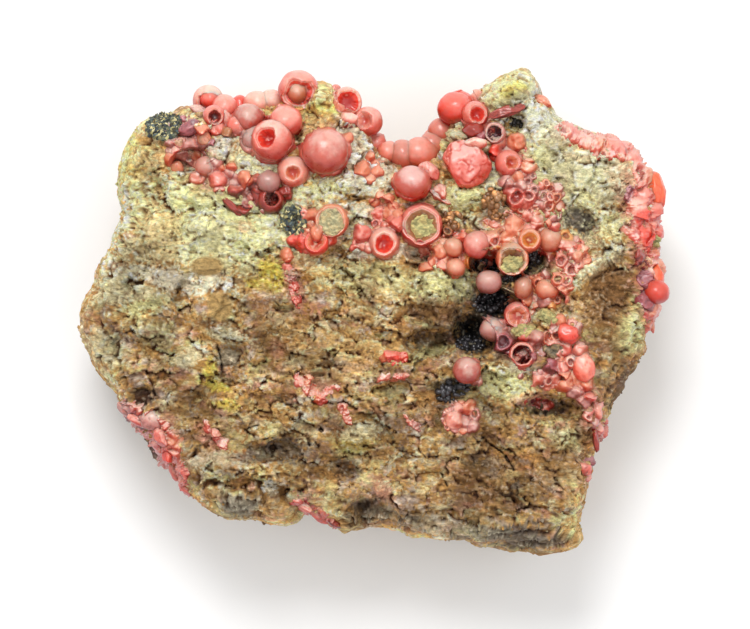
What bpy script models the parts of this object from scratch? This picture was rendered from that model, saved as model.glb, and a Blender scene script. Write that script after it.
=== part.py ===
"""Rhodochrosite on matrix: balls and broken cups of rhodochrosite grown on a lump of weathered rock.

The specimen lies on the flat face that was cut across its back. +X and +Y run across its front and
+Z comes out of it. The origin is in the middle of the cut back. The lists below are in drawn
millimetres, and UNIT turns them into metres.
"""

import math
import random

import bmesh
import bpy
from mathutils import Matrix, Vector, noise
from mathutils.geometry import delaunay_2d_cdt

# Driving dimensions
LENGTH = 0.0802           # real length along X, in metres
DRAWN_LENGTH = 80.2       # the same length as the lists below are drawn, in millimetres
UNIT = LENGTH / DRAWN_LENGTH

# Heights above the cut back, in drawn millimetres
FRONT_HEIGHT = 26.5       # the plain front face, before its lumps and pits
WIDEST_HEIGHT = 17.5      # the level at which the lump is widest
RIM_ROUND = 4.2           # width of the rounded rim, from the outline inwards
FACET_TILT = 4.0          # how steeply the broken facets lean
SMALL_LUMPS = 1.0         # height of the small lumps
BROAD_WAVE = 1.8          # height of the broad swells

# Fineness of the faceted surfaces, in drawn millimetres
GRID = 2.05               # spacing of the points on the front face
RIM_INSET = 1.1           # the first row of points inside the outline
CRUST_GRID = 1.5          # spacing of the points on the crust and the patches
BACK_GRID = 4.5           # spacing of the points on the cut back
BACK_BEVEL = 2.2          # width of the bevel round it

# Crystals and rock
GAP = 0.42                # clear space between a crystal and the rock that carries it
PAD_RADIUS = 0.95         # the small knobs that join neighbouring balls
PAD_LIFT = 0.35           # how far their middles stand off the rock
PAD_STEP = 1.0            # least distance between those knobs
CHAIN_STEP = 0.3          # how finely the way between two balls is followed
CUP_RISE = 0.62           # how far a cup's inside stands above its middle, in radii
CUP_BORE = 0.74           # radius of a cup's inside, in radii
SMALL_BALL = 1.25         # balls under this radius have 20 faces
LARGE_BALL = 2.45         # balls over this radius have 320 faces
KEEP = 0.24               # share of a cluster's triangles that is kept when it is simplified
CRUST_KEEP = 0.5          # the same for the black crust
TURNS = 8                 # how many ways a cluster's balls may be turned
SHARP_ANGLE = math.radians(38)

# The lump's outline, clockwise from its upper left corner
OUTLINE = [
    (-30.2, 26.5), (-28.1, 26.7), (-26.2, 27.8), (-24.5, 28.0), (-22.4, 28.5), (-20.0, 28.0),
    (-17.8, 28.2), (-15.6, 28.4), (-13.4, 28.6), (-11.6, 29.6), (-9.8, 30.6), (-8.3, 31.0),
    (-7.0, 31.3), (-5.9, 30.9), (-4.7, 29.9), (-3.2, 29.0), (-2.3, 27.6), (-1.0, 26.4),
    (-0.1, 25.2), (0.3, 23.6), (1.0, 22.3), (2.6, 22.1), (4.2, 22.5), (6.0, 22.8), (7.7, 23.0),
    (8.9, 24.2), (9.7, 25.9), (10.5, 27.6), (11.8, 28.9), (13.5, 29.6), (15.1, 30.7), (17.0, 32.0),
    (18.7, 32.7), (20.3, 33.1), (21.3, 32.6), (22.4, 30.8), (22.9, 29.3), (23.9, 28.1),
    (24.7, 26.7), (26.0, 25.7), (27.6, 25.0), (28.9, 24.3), (30.6, 24.0), (32.2, 23.6),
    (34.0, 22.8), (35.6, 21.4), (36.8, 19.8), (37.9, 18.2), (38.7, 16.6), (38.7, 14.6),
    (38.6, 12.6), (38.4, 10.6), (38.0, 8.6), (38.4, 6.6), (38.6, 4.6), (38.8, 2.6), (38.4, 0.8),
    (37.8, -0.8), (37.1, -2.2), (36.8, -3.8), (37.3, -5.0), (36.3, -6.6), (35.6, -8.0),
    (34.3, -9.4), (34.1, -10.7), (32.7, -12.4), (32.0, -14.2), (31.2, -15.8), (30.9, -17.2),
    (30.0, -18.9), (29.4, -20.2), (29.5, -21.6), (29.0, -23.4), (28.7, -25.4), (28.1, -27.2),
    (27.9, -28.9), (28.5, -30.8), (27.6, -31.9), (26.0, -32.7), (24.2, -33.0), (22.6, -33.2),
    (20.8, -32.7), (18.5, -32.7), (16.4, -32.0), (14.0, -32.0), (12.3, -30.9), (10.3, -30.9),
    (8.5, -30.8), (6.8, -30.5), (5.0, -30.7), (3.4, -29.6), (1.4, -29.3), (-0.6, -29.2),
    (-2.4, -29.5), (-4.1, -30.1), (-5.4, -29.0), (-7.2, -28.1), (-8.9, -27.0), (-10.4, -28.5),
    (-12.2, -29.1), (-13.9, -28.9), (-15.6, -28.3), (-17.7, -28.1), (-19.9, -28.1),
    (-21.4, -27.4), (-22.8, -26.6), (-24.2, -25.5), (-25.6, -24.3), (-26.6, -22.7),
    (-27.2, -21.2), (-28.8, -20.9), (-30.2, -19.8), (-30.9, -18.1), (-31.4, -16.4),
    (-32.8, -14.9), (-33.9, -13.6), (-34.5, -12.0), (-35.4, -10.5), (-36.7, -9.2), (-38.0, -7.4),
    (-38.6, -5.6), (-39.4, -4.2), (-40.0, -2.4), (-39.9, -0.4), (-39.4, 1.6), (-38.2, 3.4),
    (-37.9, 5.2), (-37.0, 7.1), (-35.8, 8.6), (-35.4, 10.5), (-34.5, 12.3), (-34.2, 14.0),
    (-34.4, 15.9), (-34.7, 18.0), (-34.5, 20.2), (-33.8, 22.2), (-32.8, 24.0), (-31.7, 25.8),
]

# Places where the lump is widest lower or higher than elsewhere: x, y, reach, height
WIDEST_PLACES = [
    (21.5, -32.5, 9.0, 11.0),
    (34.5, -9.5, 8.0, 9.0),
    (-29.8, -19.0, 4.0, 9.0),
    (4.5, 22.5, 6.0, 14.5),
    (39.0, 8.0, 12.0, 18.5),
]

# Lower parts of the front, seen from the front as sloping sides: x, y, reach, width of the slope
SLOPES = [
    (21.5, -32.5, 9.0, 5.4),
    (34.0, -9.5, 7.0, 4.6),
    (-29.6, -19.2, 3.6, 3.6),
    (-39.0, -1.0, 14.0, 5.5),
    (5.0, 22.5, 6.0, 5.0),
]

# Lumps and ridges on the front: x, y, half length, half width, turn in degrees, height
LUMPS = [
    (0.0, 0.0, 38.0, 30.0, 0, 2.2),
    (9.0, 2.8, 5.4, 4.2, 10, 3.4),
    (29.5, 5.9, 5.4, 1.9, 36, 1.7),
    (-31.5, 18.6, 4.0, 3.6, 15, 1.7),
    (-30.4, 23.2, 3.2, 2.8, 40, 1.2),
    (-22.4, 11.2, 5.4, 2.5, -12, 1.5),
    (-21.6, 5.9, 3.6, 2.0, 0, 1.0),
    (-22.0, 15.4, 4.0, 2.0, 12, 1.2),
    (-20.4, 22.0, 2.3, 1.9, -8, 1.3),
    (-19.0, -2.2, 6.5, 2.6, -12, 1.2),
    (-31.5, -3.0, 5.0, 3.2, 30, 1.0),
    (-27.5, -9.4, 5.2, 2.6, -14, 1.2),
    (-33.4, -10.2, 2.8, 2.2, -30, 1.3),
    (-18.0, -26.0, 3.4, 2.6, -18, 1.8),
    (-12.6, -27.6, 2.6, 2.0, 8, 1.3),
    (-12.0, -14.0, 5.4, 2.6, -8, 1.2),
    (-7.4, -4.0, 5.5, 3.0, 12, 1.1),
    (6.6, -8.2, 3.0, 2.5, 8, 1.7),
    (2.6, -5.8, 2.9, 2.0, 6, 1.3),
    (16.8, -8.8, 4.0, 3.2, 10, 1.9),
    (22.5, -16.0, 5.5, 2.4, -4, 1.5),
    (8.0, -20.0, 3.6, 2.4, 18, 1.3),
    (12.0, -25.6, 6.4, 2.8, -6, 1.5),
    (22.5, -25.0, 5.4, 3.0, 4, 1.4),
    (-1.2, -16.6, 4.6, 2.6, 10, 1.1),
    (11.6, 15.9, 3.4, 2.2, -14, 2.0),
    (-7.0, 28.8, 2.4, 2.9, 0, 2.0),
    (-4.0, 16.9, 6.0, 2.0, 4, 1.3),
    (-2.2, 12.9, 2.4, 2.0, 0, 0.9),
    (18.4, 29.9, 4.4, 3.2, 20, 2.6),
    (24.6, 24.2, 3.6, 2.4, -20, 1.2),
    (29.0, 17.4, 6.5, 4.4, -12, 1.5),
    (34.0, -3.0, 3.6, 2.4, 20, 1.2),
    (31.6, 9.6, 4.2, 2.4, 14, 0.9),
]

# Pits, ledges' shadows and the hollow: x, y, half length, half width, turn in degrees, depth
PITS = [
    (16.6, 1.2, 7.2, 7.6, 0, 2.6),
    (15.2, 6.6, 2.6, 1.7, 0, 4.2),
    (21.2, 6.8, 2.2, 1.9, 20, 3.6),
    (16.8, 1.2, 3.2, 2.2, -8, 4.6),
    (13.4, -3.2, 3.3, 2.7, -42, 5.6),
    (8.0, -3.9, 4.2, 2.1, 4, 3.6),
    (6.0, 8.0, 2.2, 1.4, -8, 2.4),
    (23.8, -12.9, 4.5, 1.9, -5, 3.0),
    (2.4, -10.4, 3.0, 1.4, 6, 2.2),
    (28.5, -18.8, 1.9, 2.0, 60, 3.4),
    (27.8, 12.2, 2.9, 1.9, -28, 1.7),
    (-31.2, -11.2, 2.4, 1.5, 12, 1.5),
    (-13.5, -18.6, 5.6, 1.9, 5, 1.9),
    (-4.3, -21.3, 2.6, 1.9, -10, 1.6),
    (0.0, -27.2, 3.8, 2.2, -14, 2.8),
    (-19.1, -6.4, 2.6, 2.3, 20, 1.7),
    (-24.8, 20.4, 2.8, 1.6, 12, 2.4),
    (16.8, -18.6, 3.6, 1.4, -40, 2.0),
    (18.9, 25.4, 1.8, 1.4, 20, 2.4),
    (-6.6, 7.2, 3.0, 1.5, 26, 1.6),
    (-9.0, 26.2, 1.6, 1.9, 0, 1.2),
    (34.0, 3.0, 3.8, 3.4, 0, 1.2),
    (14.4, 12.8, 3.4, 2.2, -20, 1.8),
    (4.6, 21.6, 5.0, 3.4, 0, 3.0),
]

# Balls of rhodochrosite: x, y, radius, and how far the middle stands off the rock, in radii
UPPER_LEFT_BALLS = [
    (-22.4, 28.4, 2.1, 0.3), (-21.5, 26.2, 1.4, 0.4), (-20.1, 27.4, 2.0, 0.2),
    (-18.2, 28.4, 1.2, 0.4), (-15.8, 27.9, 1.8, 0.2), (-13.8, 28.1, 1.7, 0.2),
    (-16.9, 26.0, 2.3, 0.4), (-18.4, 24.9, 1.5, 0.1), (-10.2, 29.9, 2.6, 0.3),
    (-11.8, 25.6, 2.3, 0.6), (-13.8, 23.0, 2.8, 0.7), (-15.9, 23.2, 2.2, 0.2),
    (-6.5, 21.5, 3.3, 0.7), (-3.5, 23.4, 0.8, 0.8), (-10.8, 18.8, 2.1, 0.4),
    (-17.3, 17.7, 1.2, 0.4), (-14.1, 17.4, 1.6, 0.3), (-13.9, 14.9, 1.9, 0.3),
    (-11.9, 15.9, 1.1, 0.1), (-19.7, 24.1, 0.9, 0.5), (-22.6, 19.5, 1.5, 0.5),
    (-21.0, 17.8, 1.2, 0.6), (-19.0, 19.4, 0.8, 0.3), (-23.0, 24.1, 1.1, 0.2),
    (-24.6, 22.2, 1.1, 0.2), (-27.2, 20.6, 1.1, 0.2), (-17.6, 13.8, 1.1, 0.1),
]
UPPER_LEFT_CUPS = [
    (-21.5, 26.2, 1.4, 0.4), (-10.2, 29.9, 2.6, 0.3), (-14.4, 23.5, 1.9, 1.3),
    (-10.9, 18.6, 2.0, 0.5), (-13.7, 15.2, 1.8, 0.4),
]

TOP_BALLS = [
    (-3.7, 28.2, 1.9, 0.3), (-5.2, 29.9, 0.8, 0.3), (-0.8, 25.6, 1.9, 0.3),
    (-3.3, 25.9, 1.2, 0.2), (0.2, 22.8, 1.4, 0.3), (-0.4, 20.8, 0.8, 0.4),
    (-1.6, 19.1, 1.2, 0.4), (0.5, 18.8, 0.8, 0.3), (2.0, 21.5, 1.3, 0.6), (4.0, 21.6, 1.6, 0.6),
    (6.1, 21.6, 2.1, 0.6), (5.5, 23.2, 1.1, 0.6), (7.9, 22.3, 1.7, 0.5), (8.8, 24.3, 1.2, 0.4),
    (11.0, 27.4, 2.5, 0.6), (13.9, 28.8, 1.0, 0.2), (13.5, 26.4, 1.8, 0.7),
    (15.8, 26.8, 1.0, 0.4), (17.8, 27.2, 1.0, 0.5), (16.2, 24.0, 1.5, 0.4),
    (19.1, 22.9, 1.3, 0.2), (18.0, 19.9, 1.8, 0.4), (16.4, 21.4, 1.3, 0.4),
    (17.7, 17.3, 1.1, 0.2), (12.3, 19.9, 3.4, 0.6), (11.2, 23.6, 1.3, 0.6),
    (5.1, 17.4, 2.5, 0.7), (7.4, 18.8, 1.6, 0.2), (8.9, 16.0, 1.1, 0.2), (19.1, 15.3, 1.3, 0.2),
    (20.0, 17.9, 0.9, 0.2),
]
TOP_CUPS = [
    (-3.8, 28.0, 1.7, 0.7), (-1.2, 25.6, 1.6, 0.8), (14.1, 26.5, 1.6, 0.8),
    (16.2, 24.0, 1.4, 0.5), (18.6, 20.2, 1.4, 0.6),
]

CENTRE_BALLS = [
    (6.3, 11.6, 2.9, 0.3), (1.3, 9.2, 2.1, 0.5), (-1.5, 10.7, 1.3, 0.3), (2.4, 13.5, 1.3, 0.3),
    (0.1, 14.9, 0.9, 0.3), (3.2, 11.8, 1.3, 0.1), (2.0, 15.2, 0.9, 0.3), (9.6, 13.4, 1.0, 0.1),
]
CENTRE_CUPS = [(6.6, 11.5, 2.9, 0.5), (1.2, 9.1, 2.0, 0.6)]

RING_BALLS = [
    (-5.6, 12.2, 2.3, 0.1), (-8.0, 12.6, 1.4, 0.2), (-7.6, 9.3, 1.6, 0.2),
    (-9.6, 9.3, 1.0, 0.1), (-11.8, 7.6, 1.0, 0.3),
]
RING_CUPS = [(-5.6, 12.2, 2.2, 0.3)]

BAND_BALLS = [
    (7.2, 6.3, 1.2, 0.3), (8.9, 8.0, 1.0, 0.2), (10.6, 8.6, 1.5, 0.3), (13.7, 9.0, 1.9, 0.4),
    (16.2, 9.4, 1.0, 0.3), (18.0, 9.9, 1.2, 0.3), (18.8, 11.4, 1.4, 0.3), (16.2, 11.8, 0.8, 0.3),
    (20.8, 9.5, 1.6, 0.4), (23.6, 9.7, 1.9, 0.4), (26.3, 9.0, 1.0, 0.3), (27.3, 7.4, 0.9, 0.2),
    (25.0, 6.7, 0.9, 0.2), (18.5, 7.0, 2.2, 0.9), (10.9, 5.9, 1.5, 0.3), (12.7, 6.8, 0.9, 0.8),
    (21.9, 12.2, 1.1, 0.1),
]
BAND_CUPS = [(20.8, 9.7, 1.5, 0.5), (18.5, 7.1, 2.2, 1.1)]

HOLLOW_RIM_BALLS = [
    (15.4, 4.0, 1.7, 1.4), (17.9, 2.9, 1.1, 1.2), (20.0, 3.2, 1.5, 0.5), (20.2, 1.6, 1.0, 0.4),
    (23.2, 3.0, 1.6, 0.3), (25.2, 2.7, 0.9, 0.2), (19.2, -0.4, 1.8, 0.5), (15.9, -2.3, 1.9, 0.7),
    (17.4, -4.1, 1.4, 0.5), (19.8, -5.8, 1.7, 0.3), (21.6, -3.4, 1.6, 0.3),
    (25.9, -2.8, 1.7, 0.4), (25.0, -1.1, 0.9, 0.3), (24.0, -4.9, 1.3, 0.2),
    (27.7, -5.0, 1.1, 0.3), (23.8, -7.4, 1.2, 0.3), (25.5, -9.5, 1.4, 0.3),
    (28.0, -7.3, 1.8, 0.3), (28.6, -9.6, 1.0, 0.3), (29.1, -11.4, 1.0, 0.2),
    (30.1, -13.3, 1.0, 0.2), (21.8, -9.2, 1.0, 0.1),
]
HOLLOW_RIM_CUPS = [(17.3, -4.0, 1.3, 0.8), (19.8, -5.9, 1.5, 0.7)]

LONE_BALLS = [(12.4, -7.8, 1.9, 0.5), (13.7, -9.2, 0.9, 0.5)]
LOWER_PATCH_BALLS = [(12.7, -12.7, 1.2, 0.1), (10.9, -14.5, 1.4, 0.1)]

RIGHT_EDGE_BALLS = [
    (26.4, 24.6, 1.6, 0.3), (28.4, 23.4, 1.2, 0.3), (30.4, 23.3, 1.0, 0.3),
    (32.6, 22.4, 1.7, 0.3), (35.2, 20.3, 1.5, 0.3), (36.9, 18.3, 1.4, 0.3),
    (38.2, 16.4, 1.5, 0.5), (36.2, 15.6, 1.5, 0.1), (38.3, 13.5, 1.5, 0.5),
    (35.9, 13.0, 1.3, 0.2), (38.2, 10.8, 1.2, 0.4), (36.1, 10.4, 1.5, 0.2),
    (37.8, 8.3, 1.3, 0.3), (35.6, 7.6, 1.2, 0.1), (38.3, 5.8, 1.4, 0.4), (36.4, 4.6, 1.5, 0.2),
    (38.2, 2.6, 1.8, 0.5), (36.2, 1.8, 1.3, 0.2), (37.4, 0.0, 1.3, 0.3), (36.8, -2.0, 1.1, 0.2),
]
PEAK_FLAKE_BALLS = [(22.3, 28.8, 1.1, 0.3), (23.3, 28.1, 1.0, 0.3)]
LOWER_LEFT_BALLS = [
    (-33.6, -13.0, 1.1, 0.3), (-32.0, -14.5, 1.2, 0.3), (-30.0, -14.9, 1.6, 0.2),
    (-28.7, -16.8, 1.2, 0.3), (-27.8, -18.9, 1.1, 0.4), (-27.0, -21.0, 1.1, 0.4),
    (-26.0, -23.2, 1.1, 0.4), (-24.7, -24.8, 1.0, 0.3),
]
BOTTOM_BALLS = [
    (-10.2, -25.6, 1.0, 0.2), (-8.8, -26.4, 1.3, 0.3), (-7.2, -27.4, 1.3, 0.3),
    (-5.4, -28.4, 1.2, 0.3),
]

# The black crust on the hollow's floor, its knobs, and the two metallic patches
HOLLOW_FLOOR = [
    (11.2, -4.9), (14.6, -5.4), (14.0, -3.4), (13.3, -1.0), (16.6, -0.1), (17.2, 1.0), (15.9, 1.9),
    (13.9, 2.0), (12.6, 0.6), (11.2, -1.4), (10.2, -3.2),
]
CRUST_THICK = 0.9
KNOB_COUNT = 16
KNOB_RADIUS = (0.55, 0.85)
UPPER_LEFT_PATCH = [
    (-30.4, 26.0), (-28.2, 26.4), (-26.2, 27.2), (-25.4, 26.0), (-26.6, 24.2), (-26.6, 23.0),
    (-28.6, 23.0), (-30.2, 24.4),
]
CENTRE_PATCH = [(-12.3, 13.4), (-10.4, 14.0), (-9.4, 13.0), (-9.4, 11.4), (-10.8, 10.6), (-12.4, 10.8)]
PATCH_THICK = 0.8

# Colours
OCHRE = (0.42, 0.27, 0.11)
RED = (0.72, 0.11, 0.08)
PINK = (0.78, 0.27, 0.24)
BLACK = (0.02, 0.018, 0.018)
STEEL = (0.10, 0.12, 0.14)


def clear_scene():
    """Remove what the scene holds."""
    for thing in list(bpy.data.objects):
        bpy.data.objects.remove(thing, do_unlink=True)


def smooth(value):
    """A soft step from 0 to 1."""
    value = min(max(value, 0.0), 1.0)
    return value * value * (3.0 - 2.0 * value)


def loop_distance(x, y, loop):
    """Distance from a point to a closed loop."""
    nearest = 1e9
    for index, (bx, by) in enumerate(loop):
        ax, ay = loop[index - 1]
        dx, dy = bx - ax, by - ay
        along = ((x - ax) * dx + (y - ay) * dy) / (dx * dx + dy * dy)
        along = min(max(along, 0.0), 1.0)
        nearest = min(nearest, math.hypot(x - ax - along * dx, y - ay - along * dy))
    return nearest


def inside(x, y, loop):
    """Whether a point is inside a closed loop of points."""
    odd = False
    for index, (bx, by) in enumerate(loop):
        ax, ay = loop[index - 1]
        if (ay > y) != (by > y) and x < ax + (y - ay) / (by - ay) * (bx - ax):
            odd = not odd
    return odd


def oval(x, y, feature):
    """Place of a point in a turned oval: 0 in its middle, 1 on its edge."""
    cx, cy, half_length, half_width, turn = feature[:5]
    angle = math.radians(turn)
    dx, dy = x - cx, y - cy
    along = dx * math.cos(angle) + dy * math.sin(angle)
    across = dy * math.cos(angle) - dx * math.sin(angle)
    return math.hypot(along / half_length, across / half_width)


def local_value(x, y, places, plain):
    """A value that differs near some places."""
    for px, py, reach, value in places:
        near = smooth(1.0 - math.hypot(x - px, y - py) / reach)
        plain += (value - plain) * min(1.0, 1.6 * near)
    return plain


def widest_height(x, y):
    """Level of the outline at a point of it."""
    wave = 1.6 * noise.noise(Vector((x * 0.11, y * 0.11, 4.0)))
    return local_value(x, y, WIDEST_PLACES, WIDEST_HEIGHT + wave)


def roughness(x, y):
    """Broken facets and small lumps of the rock."""
    spot = Vector((x * 0.20, y * 0.24, 0.0))
    cell = noise.voronoi(spot)[1][0]
    tilt = noise.cell_vector(cell * 7.3)
    facet = (spot - cell).dot(Vector((tilt.x - 0.5, tilt.y - 0.5, 0.0)))
    small = noise.fractal(Vector((x * 0.36, y * 0.36, 2.0)), 1.0, 2.0, 3)
    broad = noise.noise(Vector((x * 0.07, y * 0.07, 9.0)))
    return FACET_TILT * facet + SMALL_LUMPS * small + BROAD_WAVE * broad


def front_height(x, y):
    """Height of the rock's front at a point inside the outline."""
    height = FRONT_HEIGHT + roughness(x, y)
    for feature in LUMPS:
        reach = oval(x, y, feature)
        if reach < 1.0:
            height += feature[5] * (1.0 - reach * reach) ** 1.5
    for feature in PITS:
        reach = oval(x, y, feature)
        if reach < 1.0:
            height -= feature[5] * (1.0 - reach ** 4)
    edge = loop_distance(x, y, OUTLINE) / local_value(x, y, SLOPES, RIM_ROUND)
    if edge < 1.0:
        low = widest_height(x, y)
        height = low + (height - low) * math.sqrt(1.0 - (1.0 - edge) ** 2)
    return height


def outline_normals(loop):
    """Outward direction at each point of a clockwise loop."""
    normals = []
    for index in range(len(loop)):
        ax, ay = loop[index - 1]
        bx, by = loop[(index + 1) % len(loop)]
        normals.append(Vector((ay - by, bx - ax)).normalized() * -1.0)
    if not inside(loop[0][0] - 0.05 * normals[0].x, loop[0][1] - 0.05 * normals[0].y, loop):
        normals = [-normal for normal in normals]
    return normals


def inner_loop(loop, rounds, inset, rough, seed):
    """A loop smoothed and drawn in from another one, with a rough edge."""
    for _ in range(rounds):
        loop = [
            (
                (loop[i - 1][0] + 2.0 * loop[i][0] + loop[(i + 1) % len(loop)][0]) / 4.0,
                (loop[i - 1][1] + 2.0 * loop[i][1] + loop[(i + 1) % len(loop)][1]) / 4.0,
            )
            for i in range(len(loop))
        ]
    moved = []
    for (x, y), normal in zip(loop, outline_normals(loop)):
        depth = inset + rough * noise.noise(Vector((x * 0.16, y * 0.16, seed)))
        moved.append((x - normal.x * depth, y - normal.y * depth))
    return moved


def spread_points(loop, spacing, margin, seed):
    """Jittered points of a triangular grid, inside a loop and clear of it."""
    rng = random.Random(seed)
    xs = [x for x, _ in loop]
    ys = [y for _, y in loop]
    points = []
    row = 0
    y = min(ys)
    while y < max(ys):
        x = min(xs) + (row % 2) * spacing / 2.0
        while x < max(xs):
            px = x + rng.uniform(-0.24, 0.24) * spacing
            py = y + rng.uniform(-0.24, 0.24) * spacing
            if inside(px, py, loop) and loop_distance(px, py, loop) > margin:
                points.append((px, py))
            x += spacing
        y += spacing * math.sqrt(3.0) / 2.0
        row += 1
    return points


def triangulate(loop, points):
    """Triangles that fill a loop and use the given inner points."""
    count = len(loop)
    places = [Vector(point) for point in list(loop) + list(points)]
    edges = [(i, (i + 1) % count) for i in range(count)]
    _, _, faces, origin, _, _ = delaunay_2d_cdt(places, edges, [], 1, 1e-4)
    return [tuple(origin[corner][0] for corner in face) for face in faces]


def closed_mesh(name, vertices, faces):
    """A mesh with its faces turned outwards."""
    shell = bmesh.new()
    corners = [shell.verts.new(vertex) for vertex in vertices]
    for face in faces:
        shell.faces.new([corners[i] for i in face])
    bmesh.ops.triangulate(shell, faces=shell.faces)
    bmesh.ops.recalc_face_normals(shell, faces=shell.faces)
    if shell.calc_volume(signed=True) < 0.0:
        bmesh.ops.reverse_faces(shell, faces=shell.faces)
    mesh = bpy.data.meshes.new(name)
    shell.to_mesh(mesh)
    shell.free()
    return mesh


def rock_mesh(name, grow):
    """The lump of rock, or the same lump grown a little to cut the crystals that stand on it."""
    count = len(OUTLINE)
    normals = outline_normals(OUTLINE)
    rim = []
    for (x, y), normal in zip(OUTLINE, normals):
        point = (x - normal.x * RIM_INSET, y - normal.y * RIM_INSET)
        if loop_distance(*point, OUTLINE) > 0.75 * RIM_INSET:
            rim.append(point)
    inner = rim + spread_points(OUTLINE, GRID, 1.6 * RIM_INSET, 3)
    vertices = []
    for (x, y), normal in zip(OUTLINE, normals):
        vertices.append((x + normal.x * grow, y + normal.y * grow, widest_height(x, y) + grow))
    vertices += [(x, y, front_height(x, y) + grow) for x, y in inner]
    faces = triangulate(OUTLINE, inner)

    # The sides, drawn in towards the cut back: smoothing rounds, inset, roughness, share of height
    rings = [(2, 1.0, 2.4, 0.72), (5, 2.2, 3.2, 0.42), (8, 4.2, 2.6, 0.15)]
    upper = list(range(count))
    for seed, (rounds, inset, rough, share) in enumerate(rings):
        loop = inner_loop(OUTLINE, rounds, inset - grow, rough, 5.0 + seed)
        lower = list(range(len(vertices), len(vertices) + count))
        for (x, y), (ox, oy) in zip(loop, OUTLINE):
            jitter = 1.0 + 0.3 * noise.noise(Vector((ox * 0.2, oy * 0.2, 20.0 + seed)))
            vertices.append((x, y, widest_height(ox, oy) * share * jitter))
        for i in range(count):
            j = (i + 1) % count
            faces += [(upper[i], upper[j], lower[i]), (upper[j], lower[j], lower[i])]
        upper = lower

    # The underside: a bevel from the lowest ring to the flat cut back
    inner = spread_points(loop, BACK_GRID, BACK_BEVEL, 6)
    base = upper + list(range(len(vertices), len(vertices) + len(inner)))
    vertices += [(x, y, -grow) for x, y in inner]
    faces += [tuple(base[i] for i in face) for face in triangulate(loop, inner)]
    return closed_mesh(name, vertices, faces)


def slab_mesh(name, loop, rise, sink):
    """A thin slab that follows the rock inside a loop."""
    inner = spread_points(loop, CRUST_GRID, 0.45 * CRUST_GRID, 8)
    places = list(loop) + inner
    top = triangulate(loop, inner)
    count = len(places)
    vertices = [(x, y, front_height(x, y) + GAP + rise * (1.0 if i >= len(loop) else 0.5))
                for i, (x, y) in enumerate(places)]
    vertices += [(x, y, front_height(x, y) - sink) for x, y in places]
    faces = list(top) + [tuple(i + count for i in face) for face in top]
    for i in range(len(loop)):
        j = (i + 1) % len(loop)
        faces.append((i, j, j + count, i + count))
    return closed_mesh(name, vertices, faces)


def ball_mesh(centre, radius, rng):
    """A faceted ball, turned at random so that no two line up."""
    if radius < SMALL_BALL:
        level = 1
    elif radius < LARGE_BALL:
        level = 2
    else:
        level = 3
    axis = Vector((rng.random(), rng.random(), 1.0))
    shape = Matrix.Translation(centre) @ Matrix.Rotation(rng.uniform(0.0, math.tau), 4, axis)
    mesh = bpy.data.meshes.new("ball")
    shell = bmesh.new()
    bmesh.ops.create_icosphere(shell, subdivisions=level, radius=radius, matrix=shape)
    shell.to_mesh(mesh)
    shell.free()
    return mesh


def ball_centre(ball):
    """Middle of a ball that stands on the rock."""
    x, y, radius, lift = ball
    reach = 0.45 * radius
    around = [front_height(x, y)]
    for dx, dy in ((reach, 0.0), (-reach, 0.0), (0.0, reach), (0.0, -reach)):
        if inside(x + dx, y + dy, OUTLINE):
            around.append(front_height(x + dx, y + dy))
    return Vector((x, y, sum(around) / len(around) + lift * radius))


def links(centres, balls):
    """The shortest set of pairs that joins all the balls."""
    joined = {0}
    pairs = []
    while len(joined) < len(balls):
        best = None
        for i in joined:
            for j in range(len(balls)):
                if j in joined:
                    continue
                gap = (centres[i] - centres[j]).length - balls[i][2] - balls[j][2]
                if best is None or gap < best[0]:
                    best = (gap, i, j)
        pairs.append(best)
        joined.add(best[2])
    return pairs


def knob_chain(first, second, rng):
    """Small knobs on the rock between two balls."""
    steps = math.ceil((second - first).xy.length / CHAIN_STEP)
    last = first
    meshes = []
    for step in range(1, steps + 1):
        x, y = first.xy.lerp(second.xy, step / steps)
        centre = Vector((x, y, front_height(x, y) + GAP + PAD_LIFT))
        if (centre - last).length > PAD_STEP:
            meshes.append(ball_mesh(centre, PAD_RADIUS * rng.uniform(0.95, 1.25), rng))
            last = centre
    return meshes


def combine(parts, cutters):
    """Union of some closed meshes, less the cutters, as one mesh."""
    made = []
    group = bpy.data.collections.new("group")
    for mesh in parts + cutters:
        made.append(bpy.data.objects.new("part", mesh))
    base = made[0]
    bpy.context.scene.collection.objects.link(base)
    for thing in made[1:len(parts)]:
        group.objects.link(thing)
    if len(parts) > 1:
        union = base.modifiers.new("union", "BOOLEAN")
        union.operation = "UNION"
        union.operand_type = "COLLECTION"
        union.collection = group
        union.solver = "EXACT"
    for thing in made[len(parts):]:
        cut = base.modifiers.new("cut", "BOOLEAN")
        cut.operation = "DIFFERENCE"
        cut.object = thing
        cut.solver = "EXACT"
    bpy.context.view_layer.update()
    graph = bpy.context.evaluated_depsgraph_get()
    result = bpy.data.meshes.new_from_object(base.evaluated_get(graph))
    for thing in made:
        bpy.data.objects.remove(thing, do_unlink=True)
    bpy.data.collections.remove(group)
    return result


def is_closed(mesh):
    """Whether every edge of a mesh has two faces."""
    shell = bmesh.new()
    shell.from_mesh(mesh)
    closed = all(edge.is_manifold for edge in shell.edges)
    shell.free()
    return closed


def simplified(mesh, keep):
    """A closed mesh with only a share of its triangles, or a little more if that share opens it."""
    for extra in range(12):
        thing = bpy.data.objects.new("simple", mesh)
        bpy.context.scene.collection.objects.link(thing)
        fewer = thing.modifiers.new("fewer", "DECIMATE")
        fewer.ratio = keep + 0.01 * extra
        bpy.context.view_layer.update()
        graph = bpy.context.evaluated_depsgraph_get()
        result = bpy.data.meshes.new_from_object(thing.evaluated_get(graph))
        bpy.data.objects.remove(thing, do_unlink=True)
        if is_closed(result):
            return result
    return mesh


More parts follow.
